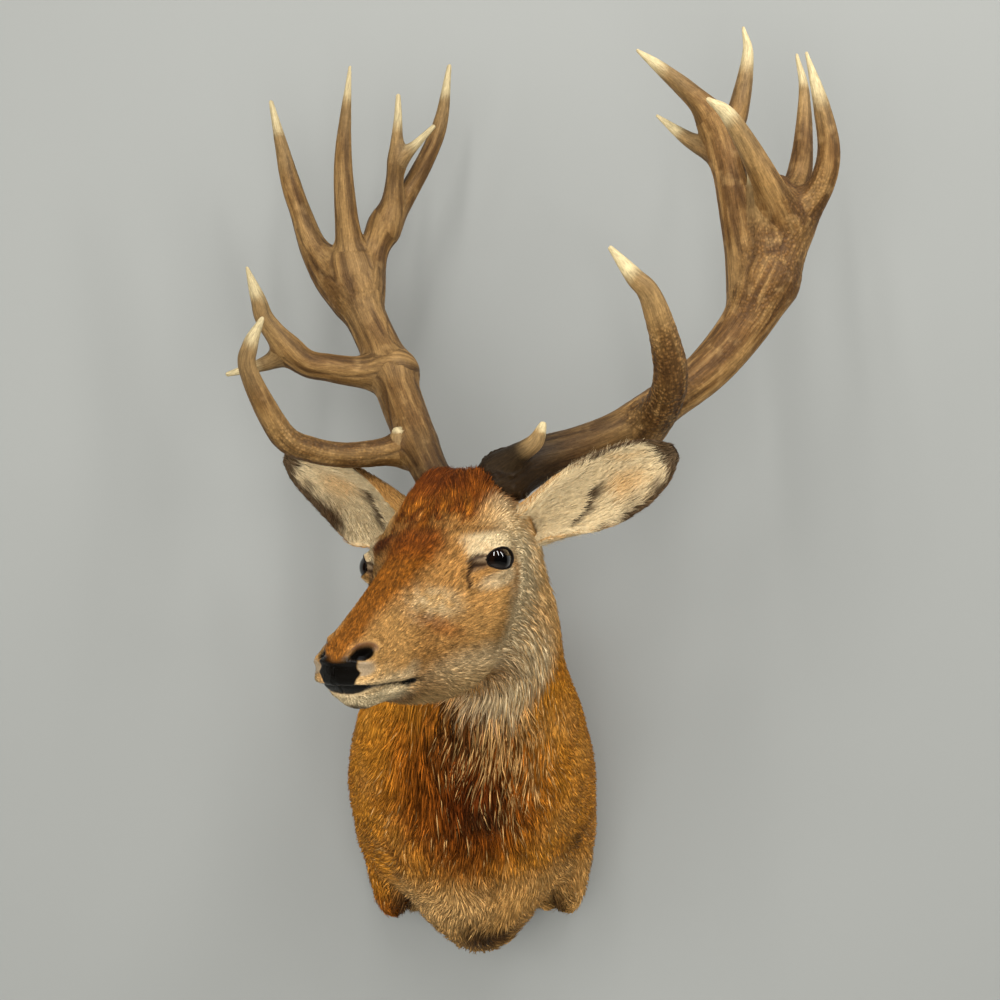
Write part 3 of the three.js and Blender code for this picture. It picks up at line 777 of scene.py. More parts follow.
        # the mouth line: the lips' black edge, widening near the corner into painted shade of the open mouth
        away, share = distance_to_path(f, u, FACE.mouth)
        wide = 1.6 + 2.8 * bump(share, 0.16, 0.14) + 3.6 * smoothstep(0.7, 0.92, share)
        lip = fall(wide - 0.8, wide + 0.8, away) * (l > 1e-6)
        colours = self.over(colours, "lip_black", lip)
        groove, _ = distance_to_path(f, u, FACE.tear_groove)
        slit = fall(1.2, 3.2, groove) * smoothstep(30, 45, l)
        corner = patch(f, u, (27, 3), (13, 8), -32, 0.4) * smoothstep(30, 45, l)
        colours = self.over(colours, "lid_brown", 0.85 * corner)
        lash, _ = distance_to_path(f, u, ((34, 4), (27, 9), (18, 12)))
        colours = self.layered(colours, [
            ("ear_dark", 0.9 * fall(1.0, 2.6, lash) * smoothstep(30, 45, l)),
            ("lip_black", fall(-0.6, 0.9, eye_distance(local))),
            ("ear_dark", slit * 0.95),
        ])
        return colours, np.clip(pad + inside + lip + 0.8 * beside + 0.8 * rim + 0.6 * corner, 0, 1)


# ---------------------------------------------------------------- the skin


@dataclass
class Skin:
    """One skin over trunk, neck and head, drawn in from the coat's outer surface by the coat's depth."""

    form: BodyForm = field(default_factory=BodyForm)
    rows: int = 316
    columns: int = 264
    neck_depth: float = 12.0
    throat_depth: float = 17.0
    face_depth: float = 3.0
    forehead_depth: float = 8.0
    stump_side: float = 121.0
    stump_shift: float = 5.0
    stump_forward: float = 62.0
    stump_depth: float = 54.0
    web_depth: float = 42.0
    socket_depth: float = 3.5
    # height, centre, radii, turn and edge of the soft patches on both sides of the face
    folds: Tuple[Tuple[float, Pair, Pair, float, float], ...] = (
        (6.0, (0, 28), (25, 11), 4, 0.8),
        (-2.5, (36, 3), (15, 9), -20, 0.9),
        (-3.0, (-6, 44), (26, 8), 0, 0.9),
        (2.6, (48, -30), (58, 11), 5, 0.9),
        (-3.2, (66, -62), (42, 18), 4, 0.9),
        (3.0, (-14, -92), (40, 32), 0, 0.9),
        (-2.6, (66, -2), (34, 12), 22, 0.9),
    )

    def grid(self) -> Tuple[Array, Array]:
        """Stations and angles, closest together round the eyes and at the nose."""
        stations = spaced(0, self.form.end, self.rows, lambda t: 8 + 5 * smoothstep(8.5, 10, t)
                          + 20 * bump(t, 12.35, 0.95) + 9 * smoothstep(16.5, 18.5, t))
        angles = spaced(-180, 180, self.columns, lambda a: 1 + 1.7 * bump(np.abs(a), 70, 17), closed=True)
        return np.meshgrid(stations, np.radians(angles), indexing="ij")

    def depth(self, t: Array, angle: Array) -> Array:
        """How far the skin lies inside the coat: deep on the throat and neck, shallow on the face."""
        turn = np.degrees(np.abs(angle))
        under = smoothstep(95, 140, turn)
        body = self.neck_depth + (self.throat_depth - self.neck_depth) * under * smoothstep(3.5, 6, t)
        body = body - 4 * fall(0.2, 2.0, t)
        face = self.face_depth + 4 * under * fall(12, 15, t)
        top = fall(30, 62, turn) * smoothstep(9, 10.2, t) * fall(12, 13.6, t)
        face = face + (self.forehead_depth - self.face_depth) * top
        face = face * fall(17.0, 19.5, t) + 0.4
        share = smoothstep(8.6, 11.0, t)
        return body * (1 - share) + face * share

    def relief(self, local: Array, t: Array) -> Array:
        """Folds and swellings of the face, outward, as sums of soft patches in the head's frame."""
        f, l, u = FACE.paired(local)
        side = smoothstep(20, 42, l)
        out = np.zeros(t.shape)
        for height, centre, radii, turn, edge in self.folds:
            out += height * patch(f, u, centre, radii, turn, edge) * side
        out += -2.0 * patch(f, l, (72, 0), (50, 8), 0, 0.9) * (u > -20)
        ridge = smoothstep(40, 90, f) * fall(182, 200, f) * smoothstep(-90, -60, u - (150 - f) * 0.3)
        out += 3.4 * ridge * bump(l, 16, 12)
        out += 11.0 * patch(f, u, (54, -130), (72, 26), 0, 0.8)
        out += 4.0 * patch(f, u, (35, 31), (15, 12), 0, 0.8) * smoothstep(26, 36, l) * (local[..., 1] < 0)
        groove, along = distance_to_path(f, u, FACE.tear_groove)
        out += -4.2 * bump(groove, 0, 2.6) * side * (1 - 0.4 * along)
        out += 1.4 * bump(groove, 5.5, 3.0) * side
        away, share = distance_to_path(f, u, FACE.mouth)
        ends = smoothstep(0.0, 0.1, share)
        out += -(4.5 + 4.0 * bump(share, 0.2, 0.12)) * bump(away, 0, 2.6) * ends
        out += 1.6 * bump(away, 7, 4.0) * ends
        out += -1.6 * patch(f, u, (122, -104), (9, 9), 0, 0.8) * side
        hole = nostril_distance(local)
        out += 3.4 * bump(hole, 1.45, 0.5) - 11.0 * fall(0.35, 1.08, hole)
        pad = pad_mask(local - np.array(FACE.pad_shift))
        out += 0.9 * pad - 1.6 * pad * bump(l, 0, 1.6) * (u < -78)
        out = np.where(t > 9.5, out, 0) * smoothstep(9.5, 10.5, t)
        pedicle = blob(f, l, (-78, 36), (26, 20)) * smoothstep(40, 66, u)
        ear_root = blob(f, u, (-92, 14), (26, 30)) * smoothstep(30, 60, l)
        crown = blob(f, l, (-48, 30), (30, 15)) * smoothstep(50, 76, u)
        saddle = blob(f, u, (-90, 46), (20, 17)) * smoothstep(36, 60, l)
        return out + 9.0 * pedicle + 10.0 * ear_root + 6.0 * crown + 11.0 * saddle

    def lids(self, p: Array) -> Array:
        """Draws the skin over both eyeballs and opens the lids' almond.

        Along each eye's outward axis the skin's height becomes that of a ball one lid thicker than the
        eye, sqrt(r^2 - distance^2), fading into the face beyond it. Inside the almond it drops below
        the eye's own surface, so the eye shows.
        """
        local = HEAD.to_head(p)
        out, behind, up = FACE.eye_basis()
        for sign in (1.0, -1.0):
            mirror = np.array([1.0, sign, 1.0])
            d = (local - FACE.eye_centre(sign)) * mirror
            x, y, h = d @ behind, d @ up, d @ out
            away = np.hypot(x, y)
            near = (away < FACE.eye_radius * 1.9) & (h > -16)
            lid = FACE.eye_radius + FACE.lid_thickness
            edge = lid * 0.92
            over = np.sqrt(lid**2 - np.minimum(away, edge) ** 2) - 0.62 * np.maximum(away - edge, 0)
            under = np.sqrt(np.maximum((FACE.eye_radius - self.socket_depth) ** 2 - away**2, 0)) - 1.0
            outside = FACE.opening(x, y)
            crease = 1.5 * bump(outside, 4.6, 1.1) * smoothstep(-2, 5, y)
            pouch = 1.0 * bump(outside, 7.5, 1.6) * smoothstep(1, -5, y)
            cover = over - crease - pouch
            wanted = under + (cover - under) * smoothstep(-1.3, 0.3, outside)
            share = fall(FACE.eye_radius * 0.80, FACE.eye_radius * 1.28, away)
            share = np.maximum(share, fall(-0.5, 2.0, outside))
            new = h + (wanted - h) * share
            moved = (out[None, :] * (new - h)[..., None]) * mirror
            local = np.where(near[..., None], local + moved, local)
        return HEAD.to_world(local)

    @staticmethod
    def lower_lip(p: Array) -> Array:
        """Draws the lower lip and chin in behind the upper lip and makes them narrower."""
        local = HEAD.to_head(p)
        f, l, u = local[..., 0], local[..., 1], local[..., 2]
        share = smoothstep(140, 188, f) * smoothstep(-101, -109, u)
        local = local - share[..., None] * np.stack([0 * f + 8.0, l * 0.2, 0 * f + 2.5], axis=-1)
        return HEAD.to_world(local)

    def stumps(self, p: Array, t: Array, angle: Array) -> Array:
        """Drop of the underside over the leg stumps, and of the web on each one's inner side.

        Each stump is exp(-|across / 22|^3) times exp(-|along / 46|^3), a soft block below the shoulder;
        a web of skin behind the hollow joins it to the brisket.
        """
        x, forward = p[..., 0] - self.stump_shift, -p[..., 1]
        across, along = (np.abs(x) - self.stump_side) / 22.0, (forward - self.stump_forward) / 46.0
        below = smoothstep(-0.05, 0.55, -np.cos(angle)) * (t < 4)
        block = np.exp(-np.abs(across) ** 3 - np.abs(along) ** 3)
        web = blob(np.abs(x), forward, (91, 34), (20, 30))
        p = p.copy()
        p[..., 2] -= (self.stump_depth * block + self.web_depth * web * (1 - block)) * below
        return p

    def sheet(self, markings: Markings) -> Sheet:
        """The finished skin with its fields: station, angle, place in the head's frame and colours."""
        t, angle = self.grid()
        outer = Sheet(self.form.points(t, angle), wrap=True)
        normals = outer.normals()
        p = outer.points - normals * self.depth(t, angle)[..., None]
        p = self.stumps(p, t, angle)
        p = p + normals * self.relief(HEAD.to_head(outer.points), t)[..., None]
        folds = (layered_noise(p * np.array([1.0, 1.0, 0.6]), 38, 21, 2) - 0.5) * 7.0
        p = p + normals * (folds * fall(6, 9, t) * smoothstep(0.2, 1.0, t))[..., None]
        p = self.lower_lip(self.lids(p))
        made = Sheet(p, wrap=True)
        local = HEAD.to_head(p)
        share = smoothstep(9.0, 10.6, t)
        colours = mixed(markings.body(p, angle, t), markings.head(HEAD.to_head(outer.points), p), share)
        bare_colours, bare = markings.bare(HEAD.to_head(outer.points), colours)
        head_only = smoothstep(10.5, 11.5, t)
        made.fields = {
            "t": t,
            "angle": angle,
            "local": local,
            "colour": mixed(colours, bare_colours, head_only),
            "bare": bare * head_only,
        }
        return made


# ---------------------------------------------------------------- the ears


@dataclass
class Ear:
    """Cupped leaf of one ear, a closed shell of an inner and an outer face."""

    sign: int
    base: Triple
    tip: Triple
    lobe: Row
    facing: Triple = (1.0, 0.25, -0.15)
    half_width: float = 38.5
    outline_at: Row = (-0.2, 0, 0.12, 0.3, 0.5, 0.7, 0.85, 0.95, 1)
    outline: Row = (0.55, 0.6, 0.78, 0.97, 1.02, 0.93, 0.75, 0.48, 0.1)
    lobe_at: Row = (0, 0.15, 0.3, 0.5, 0.7, 0.85, 1)
    curl_at: Row = (0, 0.2, 0.5, 1)
    curl: Row = (125, 95, 62, 35)
    sweep: float = 8.0
    set_back: float = 10.5
    root_thickness: float = 7.0
    tip_thickness: float = 2.2
    root_depth: float = 0.2
    rows: int = 60
    across: int = 40

    def sheet(self, markings: Markings) -> Sheet:
        """The ear's shell as a ring of columns, inner face first, then the outer face back again.

        A section at share u of the length is an arc of plus and minus the curl angle, with the radius
        that gives the outline's half width; its lower half is wider by the lobe's share, and the outer
        face has a thickness added to the radius.
        """
        base, tip, facing = (np.array(v) for v in (self.base, self.tip, self.facing))
        length = np.linalg.norm(tip - base)
        along = (tip - base) / length
        facing = unit(facing - along * (along @ facing))
        width = np.cross(along, facing)
        u = np.linspace(-self.root_depth, 0.995, self.rows)[:, None]
        inner = np.linspace(-1, 1, self.across)
        v = np.concatenate([inner, inner[::-1]])[None, :]
        outer = np.concatenate([np.zeros(self.across), np.ones(self.across)])[None, :]
        outline = sum(np.interp(u + step, self.outline_at, self.outline) for step in (-0.035, 0, 0.035)) / 3
        lower = smoothstep(-0.4, 0.5, v) * np.interp(u, self.lobe_at, self.lobe)
        half = self.half_width * outline * (1 + lower)
        curl = np.radians(sum(np.interp(u + step, self.curl_at, self.curl) for step in (-0.05, 0, 0.05)) / 3)
        radius = np.where(curl > math.pi / 2, half, half / np.sin(curl))
        thickness = self.root_thickness + (self.tip_thickness - self.root_thickness) * np.clip(u, 0, 1) ** 0.7
        thickness = thickness * (1 - 0.55 * np.abs(v) ** 6)
        ripple = 1.6 * np.sin(3.5 * math.pi * v) * (1 - np.abs(v)) * smoothstep(0.1, 0.5, u) * (1 - outer)
        reach = radius + outer * thickness - ripple
        angle = v * curl
        swept = self.sweep * np.sin(math.pi * np.maximum(0, u))
        depth = radius - reach * np.cos(angle) - swept - self.set_back
        local = (base + along * (u * length)[..., None] + width * (reach * np.sin(angle))[..., None]
                 + facing * depth[..., None])
        local[..., 1] *= self.sign
        made = Sheet(HEAD.to_world(local), wrap=True, sense=-1.0 * self.sign)
        u, v, outer = (np.broadcast_to(a, local.shape[:2]) for a in (u, v, outer))
        made.fields = {"u": u, "v": v, "outer": outer, "gap": self.gap(u, v),
                       "colour": self.colours(u, v, outer, made.points, markings)}
        return made

    @staticmethod
    def gap(u: Array, v: Array) -> Array:
        """1 in the opening between the long hair of the ear's two sides, which the ear's colours fill with
        painted shade.
        """
        line = patch(u, v + (u - 0.24) * 2.2, (0.24, 0.29), (0.16, 0.10), 0, 0.6)
        return np.maximum(line, patch(u, v, (0.34, 0.02), (0.06, 0.15), 0, 0.6))

    def colours(self, u: Array, v: Array, outer: Array, p: Array, markings: Markings) -> Array:
        """Cream inside with a tan hollow and painted shade in the gap between the long hairs, brown outside,
        and a dark rim that widens towards the tip.
        """
        noise = layered_noise(p, 16, 31)
        wobble = (noise - 0.5) * 0.3
        inside = markings.c["cream"]
        inside = markings.layered(inside, [
            ("buff", 0.55 * smoothstep(0.5, 0.72, noise) * smoothstep(0.3, 0.6, u)),
            ("tan", 0.6 * patch(u, v, (0.52, 0.2), (0.12, 0.3), 0, 0.8)),
            # painted shade in the gap between the long hairs
            ("ear_dark", 0.95 * self.gap(u, v)),
        ])
        lower = np.maximum(0.7 * patch(u + wobble * 0.3, v, (0.52, 0.76), (0.11, 0.26), 0, 0.6),
                           patch(u + wobble * 0.3, v, (0.71, 0.68), (0.07, 0.2), 0, 0.6))
        inside = markings.over(inside, "ear_dark", 0.8 * lower)
        back = markings.c["cheek"]
        back = markings.over(back, "ear_dark", 0.6 * smoothstep(0.35, 0.9, u))
        both = mixed(inside, back, outer)
        root = fall(0.02, 0.16, u + wobble * 0.4) * outer
        both = markings.over(both, "tan", 0.45 * root)
        edge = smoothstep(0.72 + 0.02 * (v > 0), 0.88, np.abs(v)) * smoothstep(0.2, 0.5, u + wobble)
        point = smoothstep(0.77, 0.86, u + wobble * 0.2)
        return markings.over(both, "ear_dark", np.maximum(edge, point) * 0.95)


def left_ear() -> Ear:
    """The ear on the deer's left, narrow at its root and full towards the tip."""
    return Ear(1, (-96.0, 90.0, 38.0), (-92.0, 256.0, 113.0),
               lobe=(-0.2, -0.22, -0.08, 0.04, 0.06, 0.0, -0.1))


def right_ear() -> Ear:
    """The ear on the deer's right, set lower, with a full lobe near its root."""
    return Ear(-1, (-96.0, 89.0, 32.0), (-92.0, 268.0, 113.0), lobe=(0.0, 0.12, 0.28, 0.2, 0.06, 0.0, 0.0))


# ---------------------------------------------------------------- the coat


class Lock(Enum):
    """Forms of one lock of hair: how many rings of three corners come before its tip."""

    SHORT = 1
    LONG = 2


LOCK_FACES = {
    Lock.SHORT: ([(0, 2, 1), (0, 3, 2), (1, 2, 3), (0, 1, 3)], []),
    Lock.LONG: ([(0, 2, 1), (3, 6, 5), (4, 5, 6), (3, 4, 6)], [(0, 3, 5, 2), (1, 2, 5, 4), (0, 1, 4, 3)]),
}


@dataclass(frozen=True)
class Patchwork:
    """One piece of the coat: its name, form of lock, and the part of the sheet it grows on.

    Stations and turn are given as low and high; turn is in degrees from the top of the section, taken
    from 0 to 360 when the piece crosses the underside.
    """

    name: str
    lock: Lock
    stations: Pair
    turn: Pair
    under: bool = False


@dataclass
class Hair:
    """What the locks of one sheet look like at each of its grid points."""

    length: Array
    width: Array
    lift: Array
    contrast: Array
    clump: Array
    lateral: Array
    streak: Array
    ahead: float
    gain: float = 1.6
    pale: Colour = (200, 158, 98)


class Coat:
    """Grows locks of solid mesh on a sheet; every lock lies along the surface and follows its flow."""

    patch_size = 0.003

    def __init__(self, sheet: Sheet, hair: Hair) -> None:
        """Keeps the sheet, its normals and the steps between its grid points."""
        self.sheet, self.hair = sheet, hair
        self.normals = sheet.normals()
        rows, columns = sheet.slopes()
        self.row_step = np.maximum(np.linalg.norm(rows, axis=-1), 0.15)
        self.column_step = np.maximum(np.linalg.norm(columns, axis=-1), 0.15)
        self.flow = unit(rows) * hair.ahead
        self.grown = 0

    def grow(self, lock: Lock, weight: Array, count: int) -> Tuple[Array, Array, Array, Array]:
        """Places, colours, row and column of the corners of many locks.

        A lock starts at its root and follows the surface for its length; its tip stands off by the length
        times the sine of the lift. Locks that share a cell of the clump size lean to one point.

        Args:
            lock: The form of the locks.
            weight: Locks wanted for each grid point.
            count: How many locks.

        Returns:
            Corners (count, corners, 3), their colours, and each root's row and column.
        """
        sheet, hair = self.sheet, self.hair
        row, column = sheet.scatter(weight, count, self.grown)
        index = np.arange(self.grown, self.grown + count)
        self.grown += count
        chance = [hash_unit(index, seed=7 + k) for k in range(6)]
        p = sheet.read(sheet.points, row, column)
        n = unit(sheet.read(self.normals, row, column))
        length = sheet.read(hair.length, row, column) * (0.7 + 0.6 * chance[0])
        width = sheet.read(hair.width, row, column) * (0.75 + 0.5 * chance[1])
        lift = np.radians(sheet.read(hair.lift, row, column)) * (0.55 + 0.9 * chance[2])
        clump = sheet.read(hair.clump, row, column)
        cell = np.floor(p / clump[:, None]).astype(np.int64)
        jitter = np.stack([hash_unit(*cell.T, seed=40 + k) for k in range(3)], axis=-1)
        centre = (cell + 0.2 + 0.6 * jitter) * clump[:, None]
        shade = hash_unit(*cell.T, seed=50)
        waver = (value_noise(p / 30.0, 61) - 0.5) * 0.8 + (chance[3] - 0.5) * 0.34
        waver += (jitter[:, 0] - 0.5) * 0.3
        turn = sheet.read(hair.lateral, row, column) + waver
        flow = unit(sheet.read(self.flow, row, column))
        side = unit(np.cross(n, flow))
        row_step = sheet.read(self.row_step, row, column)
        column_step = sheet.read(self.column_step, row, column)
        columns_sense = hair.ahead * -sheet.sense
        rings: List[Array] = []
        shares = (0.0, 1.0) if lock is Lock.SHORT else (0.0, 0.5, 1.0)
        for share in shares:
            along = length * share * np.cos(lift)
            r = np.clip(row + hair.ahead * along * np.cos(turn) / row_step, 0, sheet.points.shape[0] - 1)
            c = column - columns_sense * along * np.sin(turn) / column_step
            spot = sheet.read(sheet.points, r, c) if share else p
            normal = unit(sheet.read(self.normals, r, c)) if share else n
            pull = (centre - p) * (0.42 * share**1.5)
            pull = pull - normal * np.sum(pull * normal, axis=-1, keepdims=True)
            height = length * np.sin(lift) * (share if lock is Lock.SHORT else share * (1.35 - 0.35 * share))
            spot = spot + pull + normal * (height - 0.35 * (1 - share))[:, None]
            if share == 1.0:
                rings.append(spot[:, None])
                continue
            wide = (width * (1 - 0.22 * share))[:, None]
            ridge = spot + normal * wide * 0.4
            rings.append(np.stack([spot - side * wide / 2, spot + side * wide / 2, ridge], 1))
        corners = np.concatenate(rings, axis=1)
        base = sheet.read(sheet.fields["colour"], row, column)
        guard = chance[5] < sheet.read(hair.streak, row, column) * (0.5 + shade)
        base = mixed(base, linear(*hair.pale), 0.62 * guard)
        contrast = sheet.read(hair.contrast, row, column)
        tone = contrast * ((chance[4] - 0.5) * 1.5 + (shade - 0.5) * 1.0)
        base = base * (hair.gain * np.exp(tone))[:, None]
        # each lock is darker at its root and paler at its tip: the hair's own banding, with painted shade
        # deep in the coat and painted highlight on the tips
        levels = np.concatenate([np.full(3, 0.62), np.full(3, 0.98) if lock is Lock.LONG else [], [1.25]])
        colours = base[:, None, :] * levels[None, :, None]
        peak = colours.max(axis=-1, keepdims=True)
        colours = np.maximum(colours / (1 + (peak / 0.9) ** 3) ** (1 / 3), 0.0015)
        return corners, colours, row, column

    def piece(self, name: str, lock: Lock, weight: Array, count: int, across: Array) -> Piece:
        """Makes one coat piece, with its map OFBake.

        Args:
            name: The piece's name.
            lock: Form of its locks.
            weight: Locks wanted for each grid point.
            count: How many locks.
            across: Each column's place across the map, for columns that cross the underside.

        Returns:
            The mesh object.
        """
        corners, colours, row, column = self.grow(lock, weight, count)
        each = corners.shape[1]
        triangles, quads = LOCK_FACES[lock]
        starts = (np.arange(count) * each)[:, None, None]
        polygons = [(starts + np.array(faces)[None]).reshape(-1, len(faces[0]))
                    for faces in (triangles, quads) if faces]
        place_u = np.interp(column, np.arange(len(across)), across)
        u = (place_u - place_u.min()) / max(np.ptp(place_u), 1e-6)
        v = (row - row.min()) / max(np.ptp(row), 1e-6)
        ring = np.array([[-0.5, -0.5], [0.5, -0.5], [0.0, -0.3]])
        middle = [ring * [0.9, 0]] if lock is Lock.LONG else []
        shape = [ring, *middle, np.array([[0.0, 0.5]])]
        spread = np.concatenate(shape)[None] * self.patch_size
        uv = np.stack([u, v], -1)[:, None] * (1 - 2 * self.patch_size) + self.patch_size + spread
        return make_mesh(name, corners.reshape(-1, 3), polygons, {"Markings": colours.reshape(-1, 3)},
                         uv.reshape(-1, 2))


@dataclass
class StagCoat:
    """The coat of trunk, neck and head: lengths, lifts and densities over the skin, and its pieces."""

    short_locks: int = 104000
    long_locks: int = 90000
    pieces: Tuple[Patchwork, ...] = (
        Patchwork("coat_muzzle", Lock.SHORT, (14.6, 22.0), (-180, 180)),
        Patchwork("coat_face_left", Lock.SHORT, (9.0, 14.6), (0, 180)),
        Patchwork("coat_face_right", Lock.SHORT, (9.0, 14.6), (-180, 0)),
        Patchwork("coat_forehead", Lock.LONG, (9.4, 14.6), (-90, 90)),
        Patchwork("coat_throat", Lock.LONG, (7.3, 14.6), (90, 270), True),
        Patchwork("coat_neck_left", Lock.LONG, (4.6, 9.4), (0, 120)),
        Patchwork("coat_neck_right", Lock.LONG, (4.6, 9.4), (-120, 0)),
        Patchwork("coat_mane", Lock.LONG, (4.9, 7.3), (120, 240), True),
        Patchwork("coat_chest", Lock.LONG, (3.1, 4.9), (120, 240), True),
        Patchwork("coat_brisket", Lock.LONG, (0.0, 3.1), (120, 240), True),
        Patchwork("coat_trunk_left", Lock.LONG, (0.0, 4.6), (0, 120)),
        Patchwork("coat_trunk_right", Lock.LONG, (0.0, 4.6), (-120, 0)),
    )

    def hair(self, skin: Sheet) -> Hair:
        """Length, width, lift and the rest at each grid point of the skin, as sums of soft patches."""
        t, angle, local = skin.fields["t"], skin.fields["angle"], skin.fields["local"]
        f, u = local[..., 0], local[..., 2]
        turn = np.degrees(np.abs(angle))
        under = smoothstep(100, 150, turn)
        on_head = smoothstep(9.2, 10.8, t)
        body = 18.0 + 15.0 * under * smoothstep(4.2, 6.0, t) + 6.0 * under + 5.0 * smoothstep(6.5, 8.5, t)
        face = 9.5 - 3.0 * smoothstep(12.8, 15.5, t) - 2.4 * smoothstep(17, 19, t)
        face = face + 14 * smoothstep(-96, -128, u) * fall(110, 150, f)
        face = face + 5 * smoothstep(40, 62, u) + 8 * smoothstep(-20, -55, f)
        away = eye_distance(local)
        face = np.where(away < 15, np.minimum(face, 3.0 + np.maximum(away, 0) * 0.42), face)
        length = body * (1 - on_head) + face * on_head
        width = (1.75 + 0.45 * under) * (1 - on_head) + (0.75 + 0.055 * face) * on_head
        lift = (11 + 4 * under) * (1 - on_head) + (11 + 11 * smoothstep(38, 62, u)) * on_head
        lift = lift + 8 * smoothstep(-96, -126, u) * on_head * fall(100, 140, f)
        contrast = 0.5 + 0.3 * under + 0.6 * under * smoothstep(4.5, 6.5, t) * fall(10, 12, t)
        contrast = contrast * (1 - on_head) + (0.7 + 0.35 * smoothstep(11.0, 12.6, t)) * on_head
        clump = np.where(t > 10.3, 3.4, 7.0) + 5.0 * under * (t > 4.5) * (t < 9)
        lateral = 0.35 * np.sign(angle) * smoothstep(36, 60, u) * on_head
        lateral -= (0.55 * np.sign(angle) * bump(t, 10.6, 1.3) * smoothstep(50, 75, turn)
                    * fall(125, 150, turn))
        x, z = skin.points[..., 0], skin.points[..., 2]
        swirl = layered_noise(skin.points, 44, 23, 2) - 0.5
        lateral += 3.4 * swirl * fall(-84, -34, z) * (1 - on_head)
        around = np.arctan2(z + 44, x + 92)
        lateral += 1.5 * np.cos(around) * np.exp(-(((x + 92) ** 2 + (z + 44) ** 2) / 26.0**2)) * under
        streak = 0.5 * under * patch(x, z, (62, 112), (56, 66), -20, 0.9) + 0.05 * under * (1 - on_head)
        streak = np.maximum(streak, 0.4 * smoothstep(7.0, 8.2, t) * (1 - on_head) * smoothstep(0, 50, x))
        return Hair(length, width, lift, contrast, clump, lateral, streak, ahead=-1.0)

    def density(self, skin: Sheet, hair: Hair) -> Tuple[Array, Array]:
        """Locks wanted for each grid point, short and long, none on bare leather and the lids' rim."""
        t, local, area = skin.fields["t"], skin.fields["local"], skin.areas()
        bald = np.clip(skin.fields["bare"] * 1.6, 0, 1)
        bald = np.maximum(bald, fall(0.6, 1.6, eye_distance(local)))
        keep = (1 - bald) * fall(21.4, 21.7, t)
        face = smoothstep(9.6, 10.6, t)
        short = area * face * keep * (1 + 0.5 * smoothstep(12.5, 15, t))
        longer = smoothstep(9.5, 14.0, hair.length)
        long = area * keep * np.where(t < 10, 1.0, longer) * (16.0 / np.clip(hair.length, 16, 40)) ** 0.7
        return short, long * (1 + 0.5 * smoothstep(9, 10, t))

    def build(self, skin: Sheet, material: Material) -> None:
        """Grows every piece; the counts follow the density, so that no border shows between pieces."""
        hair = self.hair(skin)
        coat = Coat(skin, hair)
        short, long = self.density(skin, hair)
        t, degrees = skin.fields["t"], np.degrees(skin.fields["angle"])
        for plan in self.pieces:
            turn = degrees % 360 if plan.under else degrees
            (low, high), (first, last) = plan.stations, plan.turn
            inside = (t >= low) & (t < high) & (turn >= first) & (turn < last)
            weight, total = (short, self.short_locks) if plan.lock is Lock.SHORT else (long, self.long_locks)
            count = int(round(total * (weight * inside).sum() / weight.sum()))
            across = np.unwrap(np.radians(turn[0])) if not plan.under else np.radians(turn[0])
            piece = coat.piece(plan.name, plan.lock, weight * inside, count, across)
            place(piece, material, "coat")


@dataclass
class EarCoat:
    """The ears' hair: long and pale inside, short and brown outside."""

    inner_locks: int = 7800
    outer_locks: int = 5200

    def build(self, ear: Ear, sheet: Sheet, material: Material) -> None:
        """Grows one ear's two pieces, which lie from its root towards its tip."""
        side = "left" if ear.sign > 0 else "right"
        u, v, outer = sheet.fields["u"], sheet.fields["v"], sheet.fields["outer"]
        edge = smoothstep(0.75, 1.0, np.abs(v))
        length = np.where(outer > 0.5, 9.0, 27.0 - 11.0 * u - 12.0 * edge)
        gap = sheet.fields["gap"] * (outer < 0.5)
        short = np.maximum(Ear.gap(u + 0.05, v), Ear.gap(u + 0.1, v)) * (outer < 0.5)
        length = length * (1 - 0.35 * smoothstep(0.7, 1.0, u)) * (1 - 0.6 * np.maximum(gap, short))
        lift = np.where(outer > 0.5, 12.0, 13.0 - 5.0 * edge)
        lateral = np.where(outer > 0.5, 0.0, -0.75 * v * (1 - 0.6 * u))
        one = np.ones_like(u)
        hair = Hair(length, one * np.where(outer > 0.5, 1.3, 0.95), lift, one * 0.4, one * 7.0, lateral,
                    one * 0.0, ahead=1.0, gain=1.6 if ear.sign > 0 else 1.8)
        coat = Coat(sheet, hair)
        across = np.arange(u.shape[1], dtype=float)
        inner_weight = sheet.areas() * (outer < 0.5) * (u < 0.97) * (1.15 - 0.5 * u) * (1 - 0.75 * gap)
        outer_weight = sheet.areas() * ((outer > 0.5) | (edge > 0.4)) * (u > -0.14)
        for name, lock, weight, count in (
            (f"coat_ear_{side}_inside", Lock.LONG, inner_weight, self.inner_locks),
            (f"coat_ear_{side}_outside", Lock.SHORT, outer_weight, self.outer_locks),
        ):
            place(coat.piece(name, lock, weight, count, across), material, "coat")


# ---------------------------------------------------------------- the eyes


